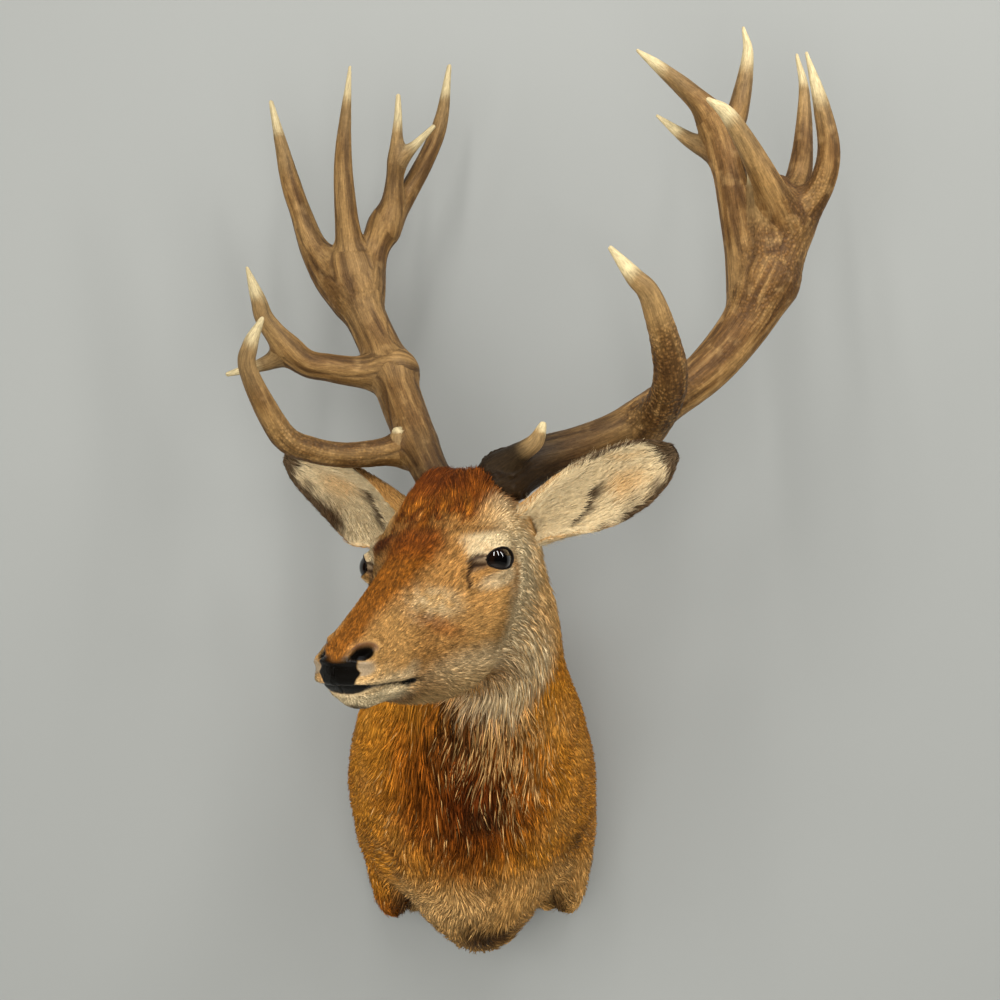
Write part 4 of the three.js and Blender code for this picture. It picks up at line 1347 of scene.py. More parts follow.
@dataclass
class Eye:
    """One glass eye with its dark wet rim."""

    sign: int
    radius: float = 18.3
    cornea_bulge: float = 0.9
    cornea_radius: float = 12.0
    rim_radius: float = 0.85
    rows: int = 40
    columns: int = 56

    def basis(self) -> Tuple[Array, Array, Array, Array]:
        """Middle, outward, backward and upward directions in the head's frame, for this side."""
        mirror = np.array([1.0, self.sign, 1.0])
        out, behind, up = FACE.eye_basis()
        return FACE.eye_centre(self.sign), out * mirror, behind * mirror, up * mirror

    def ball(self) -> Tuple[Array, Array, Array]:
        """Eyeball: a sphere about its outward axis, whose front swells by bulge times exp(-(d / r)^4).

        Returns:
            Its grid of points, their colours, and its two poles in the head's frame.
        """
        middle, out, behind, up = self.basis()
        polar = np.linspace(0, math.pi, self.rows)[1:-1, None]
        around = np.linspace(0, 2 * math.pi, self.columns, endpoint=False)[None, :]
        away = self.radius * np.sin(polar)
        swell = self.cornea_bulge * np.exp(-((away / self.cornea_radius) ** 4)) * (np.cos(polar) > 0)
        reach = self.radius + swell
        x = reach * np.sin(polar) * np.cos(around)
        y = reach * np.sin(polar) * np.sin(around)
        h = reach * np.cos(polar) + 0 * around
        grid = middle + x[..., None] * behind + y[..., None] * up + h[..., None] * out
        iris = fall(13.6, 15.4, np.hypot(x, y))
        pupil = fall(0.9, 1.1, np.hypot(x / 11.5, y / 6.5)) * (h > 0)
        brown, black = np.array([0.0060, 0.0028, 0.0016]), np.array([0.0014, 0.0012, 0.0011])
        white = np.array([0.0040, 0.0028, 0.0022])
        colour = mixed(white, brown, iris * (h > 0))
        colour = mixed(colour, black, pupil)
        return HEAD.to_world(grid), colour, np.array([middle + out * (self.radius + self.cornea_bulge),
                                                      middle - out * self.radius])

    def build(self, material: Material, rim_material: Material) -> None:
        """Makes the eyeball in the place of its node, and the rim along the lids' edge."""
        side = "left" if self.sign > 0 else "right"
        grid, colours, poles = self.ball()
        sheet = Sheet(grid, wrap=True)
        rows, columns = grid.shape[:2]
        count = rows * columns
        points = np.concatenate([grid.reshape(-1, 3), HEAD.to_world(poles)])
        tint = np.concatenate([colours.reshape(-1, 3), colours[0].mean(0)[None], colours[-1].mean(0)[None]])
        faces = outward(points, [sheet.faces(), end_fans(columns, count)])
        piece = make_mesh(f"eye_{side}", points, faces, {"Markings": tint})
        place(piece, material, "eye", f"{side}_eye")
        place(self.rim(side), rim_material, "nose")

    def rim(self, side: str) -> Piece:
        """Tube along the almond's edge, on a ball a little larger than the eye: the lids' dark wet edge, much
        thicker at the rear as painted shade of the lid over the eyeball's edge.
        """
        middle, out, behind, up = self.basis()
        s = np.linspace(0, 2 * math.pi, 96, endpoint=False)
        centre = (FACE.opening_rear - FACE.opening_nose) / 2
        half = (FACE.opening_rear + FACE.opening_nose) / 2
        x = centre + half * np.cos(s)
        height = np.where(np.sin(s) > 0, FACE.opening_up, FACE.opening_down)
        y = height * np.sign(np.sin(s)) * np.abs(np.sin(s)) ** (2 * FACE.almond_power)
        ball = self.radius + 0.9
        h = np.sqrt(np.maximum(ball**2 - np.minimum(np.hypot(x, y), self.radius * 0.96) ** 2, 4))
        line = middle + x[:, None] * behind + y[:, None] * up + h[:, None] * out
        # the rim thickens at the rear: a dark band of painted shade where the lid shades the eyeball's edge
        upper, rear = smoothstep(0.0, 0.5, np.sin(s)), smoothstep(0.3, 0.9, np.cos(s))
        thick = self.rim_radius * (1 + 0.35 * upper + 1.0 * rear)
        return tube_ring(f"eye_rim_{side}", HEAD.to_world(line), thick)


def end_fans(columns: int, count: int) -> Array:
    """Triangles from the first and the last row of a grid to its two poles, numbered after its points."""
    ring, following, last = np.arange(columns), (np.arange(columns) + 1) % columns, count - columns
    return np.concatenate([np.stack([np.full(columns, count), ring, following], -1),
                           np.stack([np.full(columns, count + 1), following + last, ring + last], -1)])


def outward(points: Array, polygons: List[Array]) -> List[Array]:
    """Turns every face round when together they enclose a negative volume."""
    volume = 0.0
    for faces in polygons:
        a, b = points[faces[:, 0]], points[faces[:, 1]]
        for k in range(2, faces.shape[1]):
            c = points[faces[:, k]]
            volume += float(np.sum(a * np.cross(b, c)))
            b = c
    return polygons if volume > 0 else [faces[:, ::-1] for faces in polygons]


def circles(line: Array, radius: Array, normal: Array, binormal: Array, sides: int) -> Array:
    """Circles square to a line, in the plane of its normal and binormal, one row for each of its points."""
    a = np.linspace(0, 2 * math.pi, sides, endpoint=False)[None, :, None]
    ring = normal[:, None] * np.cos(a) + binormal[:, None] * np.sin(a)
    return line[:, None] + radius[:, None, None] * ring


def tube_ring(name: str, line: Array, radius: Array, sides: int = 10) -> Piece:
    """Closed ring of tube: circles square to a closed line, joined end to end."""
    tangent = unit(np.roll(line, -1, 0) - np.roll(line, 1, 0))
    normal = unit(line - line.mean(0) - tangent * np.sum((line - line.mean(0)) * tangent, -1, keepdims=True))
    binormal = np.cross(tangent, normal)
    ring = circles(line, radius, normal, binormal, sides)
    count = len(line)
    r, c = np.arange(count)[:, None], np.arange(sides)[None, :]
    k, q = (c + 1) % sides, (r + 1) % count
    quads = np.stack([r * sides + c, q * sides + c, q * sides + k, r * sides + k], -1).reshape(-1, 4)
    points = ring.reshape(-1, 3)
    tint = np.broadcast_to(linear(14, 10, 8), points.shape)
    return make_mesh(name, points, outward(points, [quads]), {"Markings": tint})


# ---------------------------------------------------------------- the antlers

Run = Tuple[Tuple[float, float, float, float], ...]


@dataclass
class Antler:
    """One antler: runs of (x, forward, height, radius) blended to one bone, then grooved and pearled."""

    side: str
    runs: Dict[str, Run]
    rough: Tuple[Tuple[Triple, float, float], ...]
    foot: float
    burr: float
    dark_foot: Pair
    short_tips: Dict[str, float]
    veins: float
    tone: float = 1.0
    tip_length: float = 46.0
    voxel: float = 2.0
    web: float = 6.0
    sides: int = 20
    batch: int = 16000

    @staticmethod
    def centreline(run: Run, step: float = 2.2) -> Tuple[Array, Array, Array]:
        """Points about a step apart along a run's Catmull-Rom line, their radii and their tangents."""
        rows = np.array(run, float)
        rows = np.stack([rows[:, 0], -rows[:, 1], rows[:, 2], rows[:, 3]], axis=-1)
        length = np.linalg.norm(np.diff(rows[:, :3], axis=0), axis=1).sum()
        t = np.linspace(0, len(rows) - 1, max(8, int(length / step)))
        smooth = spline_rows(rows, t)
        tangent = unit(np.gradient(smooth[:, :3], axis=0))
        return smooth[:, :3], np.maximum(smooth[:, 3], 1.2), tangent

    @staticmethod
    def carried_frame(tangent: Array) -> Tuple[Array, Array]:
        """Normal and binormal at each point, carried along the line without twist."""
        normals = np.empty_like(tangent)
        current = np.array([0.0, 1.0, 0.0])
        for i, direction in enumerate(tangent):
            current = current - direction * (current @ direction)
            current = current / np.linalg.norm(current)
            normals[i] = current
        return normals, np.cross(tangent, normals)

    def tube(self, run: Run) -> Tuple[Array, List[Array]]:
        """Closed tube round a run: rings square to its line, with a fan over both ends."""
        line, radius, tangent = self.centreline(run, 4.0)
        normal, binormal = self.carried_frame(tangent)
        ring = circles(line, radius, normal, binormal, self.sides)
        points = np.concatenate([ring.reshape(-1, 3), line[:1], line[-1:] + tangent[-1:] * radius[-1]])
        rings, n = len(line), self.sides
        r, c = np.arange(rings - 1)[:, None] * n, np.arange(n)[None, :]
        k = (c + 1) % n
        quads = np.stack([r + c, r + k, r + n + k, r + n + c], -1).reshape(-1, 4)
        ring_ids, following, end = np.arange(n), (np.arange(n) + 1) % n, (rings - 1) * n
        first = np.stack([np.full(n, rings * n), following, ring_ids], -1)
        last = np.stack([np.full(n, rings * n + 1), end + ring_ids, end + following], -1)
        return points, outward(points, [quads, np.concatenate([first, last])])

    def joined(self) -> Tuple[Array, Array]:
        """Points and four-cornered faces of all runs as one closed bone, by a voxel remesh."""
        points, quads, triangles, start = [], [], [], 0
        for run in self.runs.values():
            p, (q, t) = self.tube(run)
            points.append(p)
            quads.append(q + start)
            triangles.append(t + start)
            start += len(p)
        rough = make_mesh("antler_draft", np.concatenate(points),
                          [np.concatenate(quads), np.concatenate(triangles)], {})
        modifier = rough.modifiers.new("join", "REMESH")
        modifier.mode = "VOXEL"
        modifier.voxel_size = self.voxel * MM
        evaluated = rough.evaluated_get(bpy.context.evaluated_depsgraph_get())
        mesh = evaluated.to_mesh()
        co = np.empty(len(mesh.vertices) * 3, np.float32)
        mesh.vertices.foreach_get("co", co)
        corners = np.empty(len(mesh.loops), np.int32)
        mesh.loops.foreach_get("vertex_index", corners)
        evaluated.to_mesh_clear()
        bpy.data.objects.remove(rough)
        return co.reshape(-1, 3).astype(float) / MM, corners.reshape(-1, 4)

    @staticmethod
    def smoothed(points: Array, faces: Array, times: int) -> Array:
        """Moves every point half way to the mean of its neighbours, several times."""
        edges = np.concatenate([faces[:, [k, (k + 1) % 4]] for k in range(4)])
        count = np.bincount(edges[:, 0], minlength=len(points))[:, None]
        for _ in range(times):
            sums = [np.bincount(edges[:, 0], points[edges[:, 1], k], len(points)) for k in range(3)]
            points = points * 0.5 + 0.5 * np.stack(sums, -1) / np.maximum(count, 1)
        return points

    @staticmethod
    def point_normals(points: Array, faces: Array) -> Array:
        """Unit normals of the points, from the faces that meet there."""
        corners = [points[faces[:, k]] for k in range(4)]
        across = np.cross(corners[2] - corners[0], corners[3] - corners[1])
        total = np.zeros_like(points)
        for k in range(4):
            for axis in range(3):
                total[:, axis] += np.bincount(faces[:, k], across[:, axis], len(points))
        return unit(total)

    def heights(self, points: Array) -> Tuple[Array, Array]:
        """Height of every point over each run's surface, and the number of each run's nearest line point."""
        over, number = [], []
        for run in self.runs.values():
            line, radius, _ = self.centreline(run)
            middle = line.mean(0)
            line = (line - middle).astype(np.float32)
            best, which = np.empty(len(points), np.float32), np.empty(len(points), int)
            for start in range(0, len(points), self.batch):
                chunk = slice(start, start + self.batch)
                part = (points[chunk] - middle).astype(np.float32)
                square = (part**2).sum(1)[:, None] + (line**2).sum(1)[None] - 2 * part @ line.T
                height = np.sqrt(np.maximum(square, 0)) - radius.astype(np.float32)
                chosen = np.argmin(height, axis=1)
                which[chunk] = chosen
                best[chunk] = height[np.arange(len(part)), chosen]
            over.append(best)
            number.append(which)
        return np.array(over, float), np.array(number)

    def blended(self, points: Array, faces: Array) -> Array:
        """Moves points to where the runs blend smoothly, so that webs fill the forks.

        The surface is where -web * ln(sum of exp(-height / web)) is zero; every step moves each point
        by that value along its normal.
        """
        for smoothing in (3, 2, 1, 0):
            over, _ = self.heights(points)
            blend = -self.web * np.log(np.sum(np.exp(-np.clip(over, -12, 90) / self.web), axis=0))
            points = points - self.point_normals(points, faces) * np.clip(blend, -5, 5)[:, None]
            points = self.smoothed(points, faces, smoothing)
        return points

    def along_runs(self, points: Array) -> Dict[str, Array]:
        """Each point's place on the run whose surface is nearest.

        Returns:
            Distance to the run's tip, angle round it, its radius, distance along the beam from its root,
            distance along the run, and the length of the run's ivory tip.
        """
        over, number = self.heights(points)
        owner = np.argmin(over, axis=0)
        names = ("to_tip", "angle", "radius", "base", "along", "ivory")
        fields = {name: np.zeros(len(points)) for name in names}
        for order, (name, run) in enumerate(self.runs.items()):
            mine = owner == order
            line, radius, tangent = self.centreline(run)
            normal, binormal = self.carried_frame(tangent)
            travelled = np.concatenate([[0], np.cumsum(np.linalg.norm(np.diff(line, axis=0), axis=1))])
            k = number[order][mine]
            d = points[mine] - line[k]
            fields["angle"][mine] = np.arctan2(np.sum(d * binormal[k], -1), np.sum(d * normal[k], -1))
            fields["radius"][mine] = radius[k]
            fields["along"][mine] = travelled[k]
            fields["to_tip"][mine] = travelled[-1] - travelled[k] if run[-1][3] <= 6 else 999.0
            fields["base"][mine] = travelled[k] if order == 0 else 999.0
            fields["ivory"][mine] = self.short_tips.get(name, self.tip_length)
        return fields

    def roughness(self, points: Array) -> Array:
        """Share of pearling: high in the named places, a little elsewhere."""
        total = np.full(len(points), 0.14)
        uneven = (layered_noise(points, 24, 85) - 0.5) * 0.5
        for (x, forward, height), reach, strength in self.rough:
            away = np.linalg.norm(points - np.array([x, -forward, height]), axis=-1)
            total = np.maximum(total, strength * fall(0.35, 1.2, away / reach + uneven))
        return total

    @staticmethod
    def pearls(points: Array, size: float, seed: int, reach: float = 0.42) -> Array:
        """Round beads, one in each jittered cell of the size: 1 - (distance / (reach * size))^2, or 0."""
        scaled = points / size
        cell = np.floor(scaled).astype(np.int64)
        best = np.full(len(points), 9.0)
        for step in np.ndindex(3, 3, 3):
            corner = cell + (np.array(step) - 1)
            jitter = np.stack([hash_unit(*corner.T, seed=seed + k) for k in range(3)], -1)
            best = np.minimum(best, np.sum((corner + 0.15 + 0.7 * jitter - scaled) ** 2, axis=-1))
        return np.clip(1 - best / reach**2, 0, 1)

    def build(self, material: Material) -> None:
        """Makes the antler in the place of its nodes.

        The surface moves out by the grooves, which are noise stretched along the bone, and by the knobs
        of the burr at its foot; narrow channels sink in where the veins ran; tips stay smooth.
        """
        points, faces = self.joined()
        faces = outward(points, [faces])[0]
        points = self.blended(points, faces)
        normals = self.point_normals(points, faces)
        at = self.along_runs(points)
        rough = self.roughness(points) * smoothstep(18, 60, at["to_tip"])
        bone = smoothstep(12, 80, at["to_tip"])
        turn = np.stack([np.cos(at["angle"]), np.sin(at["angle"])], -1) * at["radius"][:, None]
        coarse = np.column_stack([turn / 5.0, at["along"] / 62.0])
        groove = value_noise(coarse, 71) - 0.5 + 0.4 * (value_noise(coarse * 2.1, 72) - 0.5)
        vein = np.zeros(len(points))
        for k in range(3):
            wander = (value_noise(np.column_stack([at["along"] / 70.0, at["along"] * 0 + k]), 75) - 0.5) * 1.6
            bent = (at["angle"] - (k * 2.1 - 1.7) - wander + math.pi) % (2 * math.pi) - math.pi
            vein = np.maximum(vein, bump(bent * at["radius"], 0, 1.5))
        vein *= self.veins * bone * (at["radius"] > 15)
        burr = self.burr * bump(at["base"], self.foot, 12.0)
        knob = self.pearls(points, 10.0, 91) * 0.7 + self.pearls(points, 5.5, 93) * 0.3
        grit = layered_noise(points, 5.0, 83, 2) - 0.5
        out = groove * 1.3 * bone * (1 - 0.5 * rough) + grit * 2.2 * rough - 0.8 * vein
        out += burr * (1.5 + 4.5 * knob)
        points = points + normals * out[:, None]
        fine = np.column_stack([turn / 1.5, at["along"] / 15.0])
        tint = self.colours(points, at, groove, vein, rough)
        piece = make_mesh(f"antler_{self.side}", points, [faces],
                          {"Markings": tint, "Grain": fine, "Pearls": np.repeat(rough[:, None], 3, 1)})
        place(piece, material, "antler", *[name for name in self.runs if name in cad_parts])

    def colours(self, points: Array, at: Dict[str, Array], groove: Array, vein: Array, rough: Array) -> Array:
        """Brown bone with dark grooves and pale ridges, ivory tips, and a darker foot."""
        noise = layered_noise(points, 60, 95)
        small = layered_noise(points, 12, 97)
        edge = at["to_tip"] + (small - 0.5) * 12
        tip = fall(at["ivory"] * 0.55, at["ivory"] * 1.05, edge)
        length, strength = self.dark_foot
        foot = fall(self.foot, self.foot + length, at["base"] + (noise - 0.5) * 50)
        foot = np.maximum(foot, (at["ivory"] < 14) * smoothstep(20, 50, at["to_tip"]))
        tint = linear(120, 88, 46)
        for colour, share in (
            ((96, 64, 30), 0.6 * smoothstep(0.4, 0.75, noise)),
            ((142, 112, 70), 0.5 * smoothstep(0.55, 0.3, noise)),
            ((62, 40, 18), 0.6 * smoothstep(0.0, -0.3, groove)),
            ((172, 134, 80), 0.5 * smoothstep(0.05, 0.35, groove)),
            ((92, 58, 26), 0.3 * rough),
            ((168, 132, 82), 0.4 * smoothstep(0.55, 0.8, small)),
            ((60, 40, 22), 0.6 * vein),
            ((152, 126, 84), 0.5 * fall(40, 120, at["to_tip"])),
            ((200, 182, 138), 0.9 * tip),
            ((26, 17, 8), strength * foot),
        ):
            tint = mixed(tint, linear(*colour), share)
        return tint * self.tone


def left_antler() -> Antler:
    """The antler on the deer's left, with a palm, a pearled bez tine and a near-black foot."""
    runs = {
        "left_beam": ((-14, 388, 386, 10), (9, 386, 401, 19), (33, 379, 411, 29), (65, 368, 430, 28.5),
                      (114, 352, 446, 25.5), (169, 338, 468, 24), (226, 326, 504, 25), (279, 314, 545, 26.5),
                      (324, 302, 600, 30), (349, 293, 650, 37)),
        "left_palm": ((351, 292, 652, 35), (374, 286, 700, 28), (388, 284, 730, 22)),
        "left_crown_stem": ((332, 292, 644, 28), (321, 284, 705, 23), (301, 274, 811, 18),
                            (286, 272, 850, 16)),
        "left_brow_tine": ((30, 392, 427, 15), (53, 412, 442, 11.5), (70, 428, 454, 9.5),
                           (78, 436, 472, 4.5)),
        "left_bez_tine": ((203, 345, 477, 25), (219, 385, 501, 21), (222, 430, 539, 19), (197, 486, 608, 13),
                          (176, 500, 632, 10), (150, 512, 661, 3)),
        "left_web": ((348, 298, 690, 24), (341, 304, 745, 13), (330, 302, 806, 6)),
        "left_web_back": ((372, 296, 728, 20), (365, 294, 768, 9)),
        "left_tine_inner": ((289, 272, 842, 15), (271, 276, 868, 13.5), (224, 290, 905, 8),
                            (194, 300, 925, 2)),
        "left_tine_spur": ((298, 272, 801, 12), (261, 248, 828, 9), (223, 238, 859, 2)),
        "left_tine_upright": ((308, 270, 833, 14), (321, 254, 866, 12.5), (334, 238, 933, 7),
                              (329, 234, 968, 2)),
        "left_tine_front": ((372, 296, 716, 21), (348, 330, 756, 17.5), (298, 372, 828, 10),
                            (270, 384, 849, 3)),
        "left_tine_back": ((372, 280, 742, 17), (395, 258, 789, 14.5), (403, 240, 883, 7),
                           (394, 238, 934, 2)),
        "left_tine_outer": ((387, 286, 729, 20), (412, 300, 761, 16), (421, 310, 802, 13.5),
                            (412, 316, 853, 10), (393, 320, 917, 2)),
    }
    rough = (((222, 392, 508), 70.0, 1.0), ((216, 440, 565), 60.0, 0.85), ((362, 310, 676), 66.0, 0.6),
             ((388, 305, 745), 60.0, 0.5), ((336, 320, 622), 46.0, 0.55), ((300, 320, 560), 34.0, 0.3))
    return Antler("left", runs, rough, foot=58.0, burr=0.9, dark_foot=(205.0, 0.95), veins=0.35,
                  short_tips={"left_brow_tine": 12.0, "left_tine_outer": 70.0, "left_tine_upright": 64.0})


def right_antler() -> Antler:
    """The antler on the deer's right, smoother and browner, with a small ridge above its brow tine."""
    runs = {
        "right_beam": ((-12, 356, 372, 12), (-28, 352, 394, 18), (-48, 346, 415, 21), (-80, 276, 483, 25.5),
                       (-107, 222, 551, 26), (-140, 186, 621, 25.5), (-152, 176, 650, 29),
                       (-158, 171, 672, 32)),
        "right_crown_stem": ((-142, 176, 650, 23), (-131, 162, 697, 18), (-118, 154, 739, 16)),
        "right_brow_tine": ((-73, 300, 450, 20), (-108, 312, 445, 16.5), (-153, 328, 441, 15),
                            (-192, 346, 447, 15), (-224, 364, 465, 15), (-257, 396, 534, 11),
                            (-255, 404, 564, 9), (-241, 408, 594, 3)),
        "right_trez_tine": ((-96, 228, 546, 25), (-137, 232, 545, 19.5), (-178, 240, 550, 17),
                            (-213, 248, 559, 16), (-252, 262, 602, 12), (-263, 270, 632, 9),
                            (-275, 278, 668, 2)),
        "right_trez_fork": ((-229, 250, 569, 13), (-256, 246, 555, 9), (-303, 243, 542, 3)),
        "right_tine_outer": ((-154, 176, 642, 28), (-182, 168, 672, 25), (-207, 160, 710, 17.5),
                             (-223, 156, 753, 13.5), (-237, 157, 796, 12), (-259, 168, 890, 3)),
        "right_tine_middle": ((-146, 174, 660, 23), (-159, 176, 705, 16.5), (-166, 192, 813, 11),
                              (-157, 202, 927, 2)),
        "right_tine_short": ((-115, 156, 731, 15), (-106, 160, 773, 12), (-99, 174, 857, 6),
                             (-98, 178, 896, 3)),
        "right_tine_spur": ((-96, 168, 816, 8), (-80, 172, 832, 6), (-54, 180, 857, 3)),
        "right_tine_inner": ((-116, 154, 736, 15), (-89, 138, 779, 12.5), (-50, 124, 861, 10),
                             (-35, 130, 944, 3)),
        "right_ridge": ((-80, 306, 436, 6), (-90, 318, 452, 5), (-93, 320, 470, 2.4)),
    }
    rough = (((-140, 322, 448), 66.0, 0.45), ((-205, 350, 456), 66.0, 0.5), ((-150, 178, 640), 60.0, 0.3))
    return Antler("right", runs, rough, foot=56.0, burr=0.25, dark_foot=(90.0, 0.5),
                  short_tips={"right_ridge": 4.0, "right_brow_tine": 38.0}, veins=1.0, tone=0.8)


# ---------------------------------------------------------------- finishes


class Nodes:
    """A material's node tree, with short ways to add and join its nodes."""

    def __init__(self, name: str) -> None:
        """Starts a material that holds one Principled shader and its output."""
        self.material = bpy.data.materials.new(name)
        self.material.use_nodes = True
        self.tree = self.material.node_tree
        self.shader = self.tree.nodes["Principled BSDF"]
        self.output = self.tree.nodes["Material Output"]

    def add(self, kind: str, **inputs: object) -> bpy.types.Node:
        """Adds a node; an input is a number, a colour or another node's socket."""
        node = self.tree.nodes.new(kind)
        for name, value in inputs.items():
            self.feed(node, name.replace("_", " "), value)
        return node

    def feed(self, node: bpy.types.Node, socket: str, value: object) -> None:
        """Sets or links one input."""
        target = node.inputs[socket]
        if isinstance(value, Socket):
            self.tree.links.new(value, target)
        else:
            target.default_value = value

    def set(self, **inputs: object) -> None:
        """Sets or links inputs of the shader."""
        for name, value in inputs.items():
            self.feed(self.shader, name.replace("_", " "), value)

    def colour_of(self, attribute: str) -> Socket:
        """Colour of a point attribute."""
        node = self.add("ShaderNodeAttribute")
        node.attribute_name = attribute
        return node.outputs["Color"]

    def place(self, scale: Triple = (1, 1, 1)) -> Socket:
        """Object coordinates, scaled along each axis."""
        where = self.add("ShaderNodeTexCoord").outputs["Object"]
        return self.add("ShaderNodeMapping", Vector=where, Scale=scale).outputs["Vector"]

    def noise(self, scale: float, detail: float = 3.0, stretch: Triple = (1, 1, 1)) -> Socket:
        """Noise value at a scale, in cells per metre."""
        node = self.add("ShaderNodeTexNoise", Vector=self.place(stretch), Scale=scale, Detail=detail)
        return node.outputs["Fac"]

    def ramp(self, value: Socket, low: float, high: float, first: float, last: float) -> Socket:
        """Value carried from low..high to first..last, kept between them."""
        node = self.add("ShaderNodeMapRange")
        self.feed(node, "Value", value)
        for name, number in (("From Min", low), ("From Max", high), ("To Min", first), ("To Max", last)):
            node.inputs[name].default_value = number
        return node.outputs["Result"]

    def tinted(self, colour: Socket, factor: Socket) -> Socket:
        """Colour times a grey factor."""
        node = self.add("ShaderNodeVectorMath")
        node.operation = "SCALE"
        self.tree.links.new(colour, node.inputs[0])
        self.tree.links.new(factor, node.inputs["Scale"])
        return node.outputs["Vector"]

    def math(self, operation: str, *values: object) -> Socket:
        """Sum, product or the like of numbers and sockets."""
        node = self.add("ShaderNodeMath")
        node.operation = operation
        for target, value in zip(node.inputs, values):
            if isinstance(value, Socket):
                self.tree.links.new(value, target)
            else:
                target.default_value = value
        return node.outputs["Value"]

    def bumped(self, height: Socket, distance: float, strength: float = 1.0) -> Socket:
        """Normal from a height in metres times a distance."""
        node = self.add("ShaderNodeBump", Height=height, Distance=distance, Strength=strength)
        return node.outputs["Normal"]


@dataclass(frozen=True)
class SkinFinish:
    """Short fur close to the hide, with bare wet leather where the mask says."""

    fur_roughness: float = 0.8
    wet_roughness: float = 0.12
    grain: float = 900.0

    def make(self) -> Material:
        """Colours come from the markings; fur is fine noise in the relief, and leather is pebbled."""
        n = Nodes("skin")
        bare = n.colour_of("Bare")
        fur = n.noise(1100, 2.0)
        pebble = n.add("ShaderNodeTexVoronoi", Vector=n.place(), Scale=self.grain).outputs["Distance"]
        height = n.add("ShaderNodeMix", Factor=bare, A=fur, B=pebble).outputs["Result"]
        shade = n.ramp(n.noise(700, 3.0), 0.3, 0.7, 0.72, 1.15)
        n.set(Base_Color=n.tinted(n.colour_of("Markings"), shade), Normal=n.bumped(height, 0.0006, 0.7),
              Roughness=n.ramp(bare, 0.2, 0.9, self.fur_roughness, self.wet_roughness),
              Specular_IOR_Level=0.2)
        return n.material


@dataclass(frozen=True)
class CoatFinish:
    """Dry hair."""

    roughness: float = 0.68

    def make(self) -> Material:
        """Each lock has its own colour in the markings; noise varies it a little more."""
        n = Nodes("coat")
        shade = n.ramp(n.noise(260, 2.0), 0.3, 0.7, 0.86, 1.12)
        n.set(Base_Color=n.tinted(n.colour_of("Markings"), shade), Roughness=self.roughness,
              Specular_IOR_Level=0.12)
        return n.material


@dataclass(frozen=True)
class GlassFinish:
    """Polished glass over a dark iris."""

    roughness: float = 0.04

    def make(self) -> Material:
        """Iris colours come from the markings, under a clear coat; fine streaks vary them."""
        n = Nodes("glass_eye")
        shade = n.ramp(n.noise(900, 2.0), 0.3, 0.7, 0.75, 1.25)
        n.set(Base_Color=n.tinted(n.colour_of("Markings"), shade), Roughness=self.roughness,
              Specular_IOR_Level=0.25, Coat_Weight=0.6, Coat_Roughness=0.012)
        return n.material


@dataclass(frozen=True)
class RimFinish:
    """Wet dark skin of the lids' edge."""

    roughness: float = 0.42

    def make(self) -> Material:
        """Colour from the markings with slight noise and a fine wrinkle."""
        n = Nodes("lid_rim")
        grain = n.noise(1600, 2.0)
        n.set(Base_Color=n.tinted(n.colour_of("Markings"), n.ramp(grain, 0.3, 0.7, 0.7, 1.6)),
              Roughness=self.roughness, Normal=n.bumped(grain, 0.0003, 0.5), Specular_IOR_Level=0.12)
        return n.material


@dataclass(frozen=True)
class AntlerFinish:
    """Bone with grain along its length and beads on its rough parts, polished on the ridges."""

    beads_per_metre: float = 235.0

    def make(self) -> Material:
        """Colours come from the markings; grain is noise on the grain attribute, beads are cells in space."""
        n = Nodes("antler_bone")
        grain = n.add("ShaderNodeTexNoise", Vector=n.colour_of("Grain"), Scale=1.0, Detail=5.0).outputs["Fac"]
        pores = n.noise(1300, 2.0)
        cells = n.add("ShaderNodeTexVoronoi", Vector=n.place(),
                      Scale=self.beads_per_metre).outputs["Distance"]
        bead = n.ramp(cells, 0.12, 0.62, 1.0, 0.0)
        rough = n.colour_of("Pearls")
        raised = n.math("MULTIPLY", bead, rough)
        height = n.math("ADD", n.math("MULTIPLY", grain, 0.55), n.math("MULTIPLY", pores, 0.25))
        height = n.math("ADD", height, n.math("MULTIPLY", raised, 1.5))
        shade = n.math("MULTIPLY", n.ramp(grain, 0.3, 0.7, 0.66, 1.28), n.ramp(pores, 0.3, 0.7, 0.88, 1.1))
        beaded = n.math("ADD", 1.0, n.math("MULTIPLY", rough, n.ramp(bead, 0.0, 1.0, -0.55, 0.5)))
        shade = n.math("MULTIPLY", shade, beaded)
        n.set(Base_Color=n.tinted(n.colour_of("Markings"), shade),
              Roughness=n.ramp(grain, 0.3, 0.7, 0.68, 0.5),
              Normal=n.bumped(height, 0.0012, 0.85), Specular_IOR_Level=0.22)
        return n.material


@dataclass(frozen=True)
class PlywoodFinish:
    """Plain plywood: long grain on the face."""

    pale: Tuple[float, float, float, float] = (*linear(196, 166, 120), 1.0)
    dark: Tuple[float, float, float, float] = (*linear(160, 124, 80), 1.0)

    def make(self) -> Material:
        """Bands of a stretched noise mix two wood colours and raise the grain."""
        n = Nodes("plywood")
        band = n.noise(55, 5.0, (7, 1, 1))
        mix = n.add("ShaderNodeMix")
        mix.data_type = "RGBA"
        n.tree.links.new(n.ramp(band, 0.35, 0.65, 0.0, 1.0), mix.inputs[0])
        mix.inputs[6].default_value, mix.inputs[7].default_value = self.pale, self.dark
        n.set(Base_Color=mix.outputs[2], Roughness=0.7, Normal=n.bumped(band, 0.0005, 0.6))
        return n.material


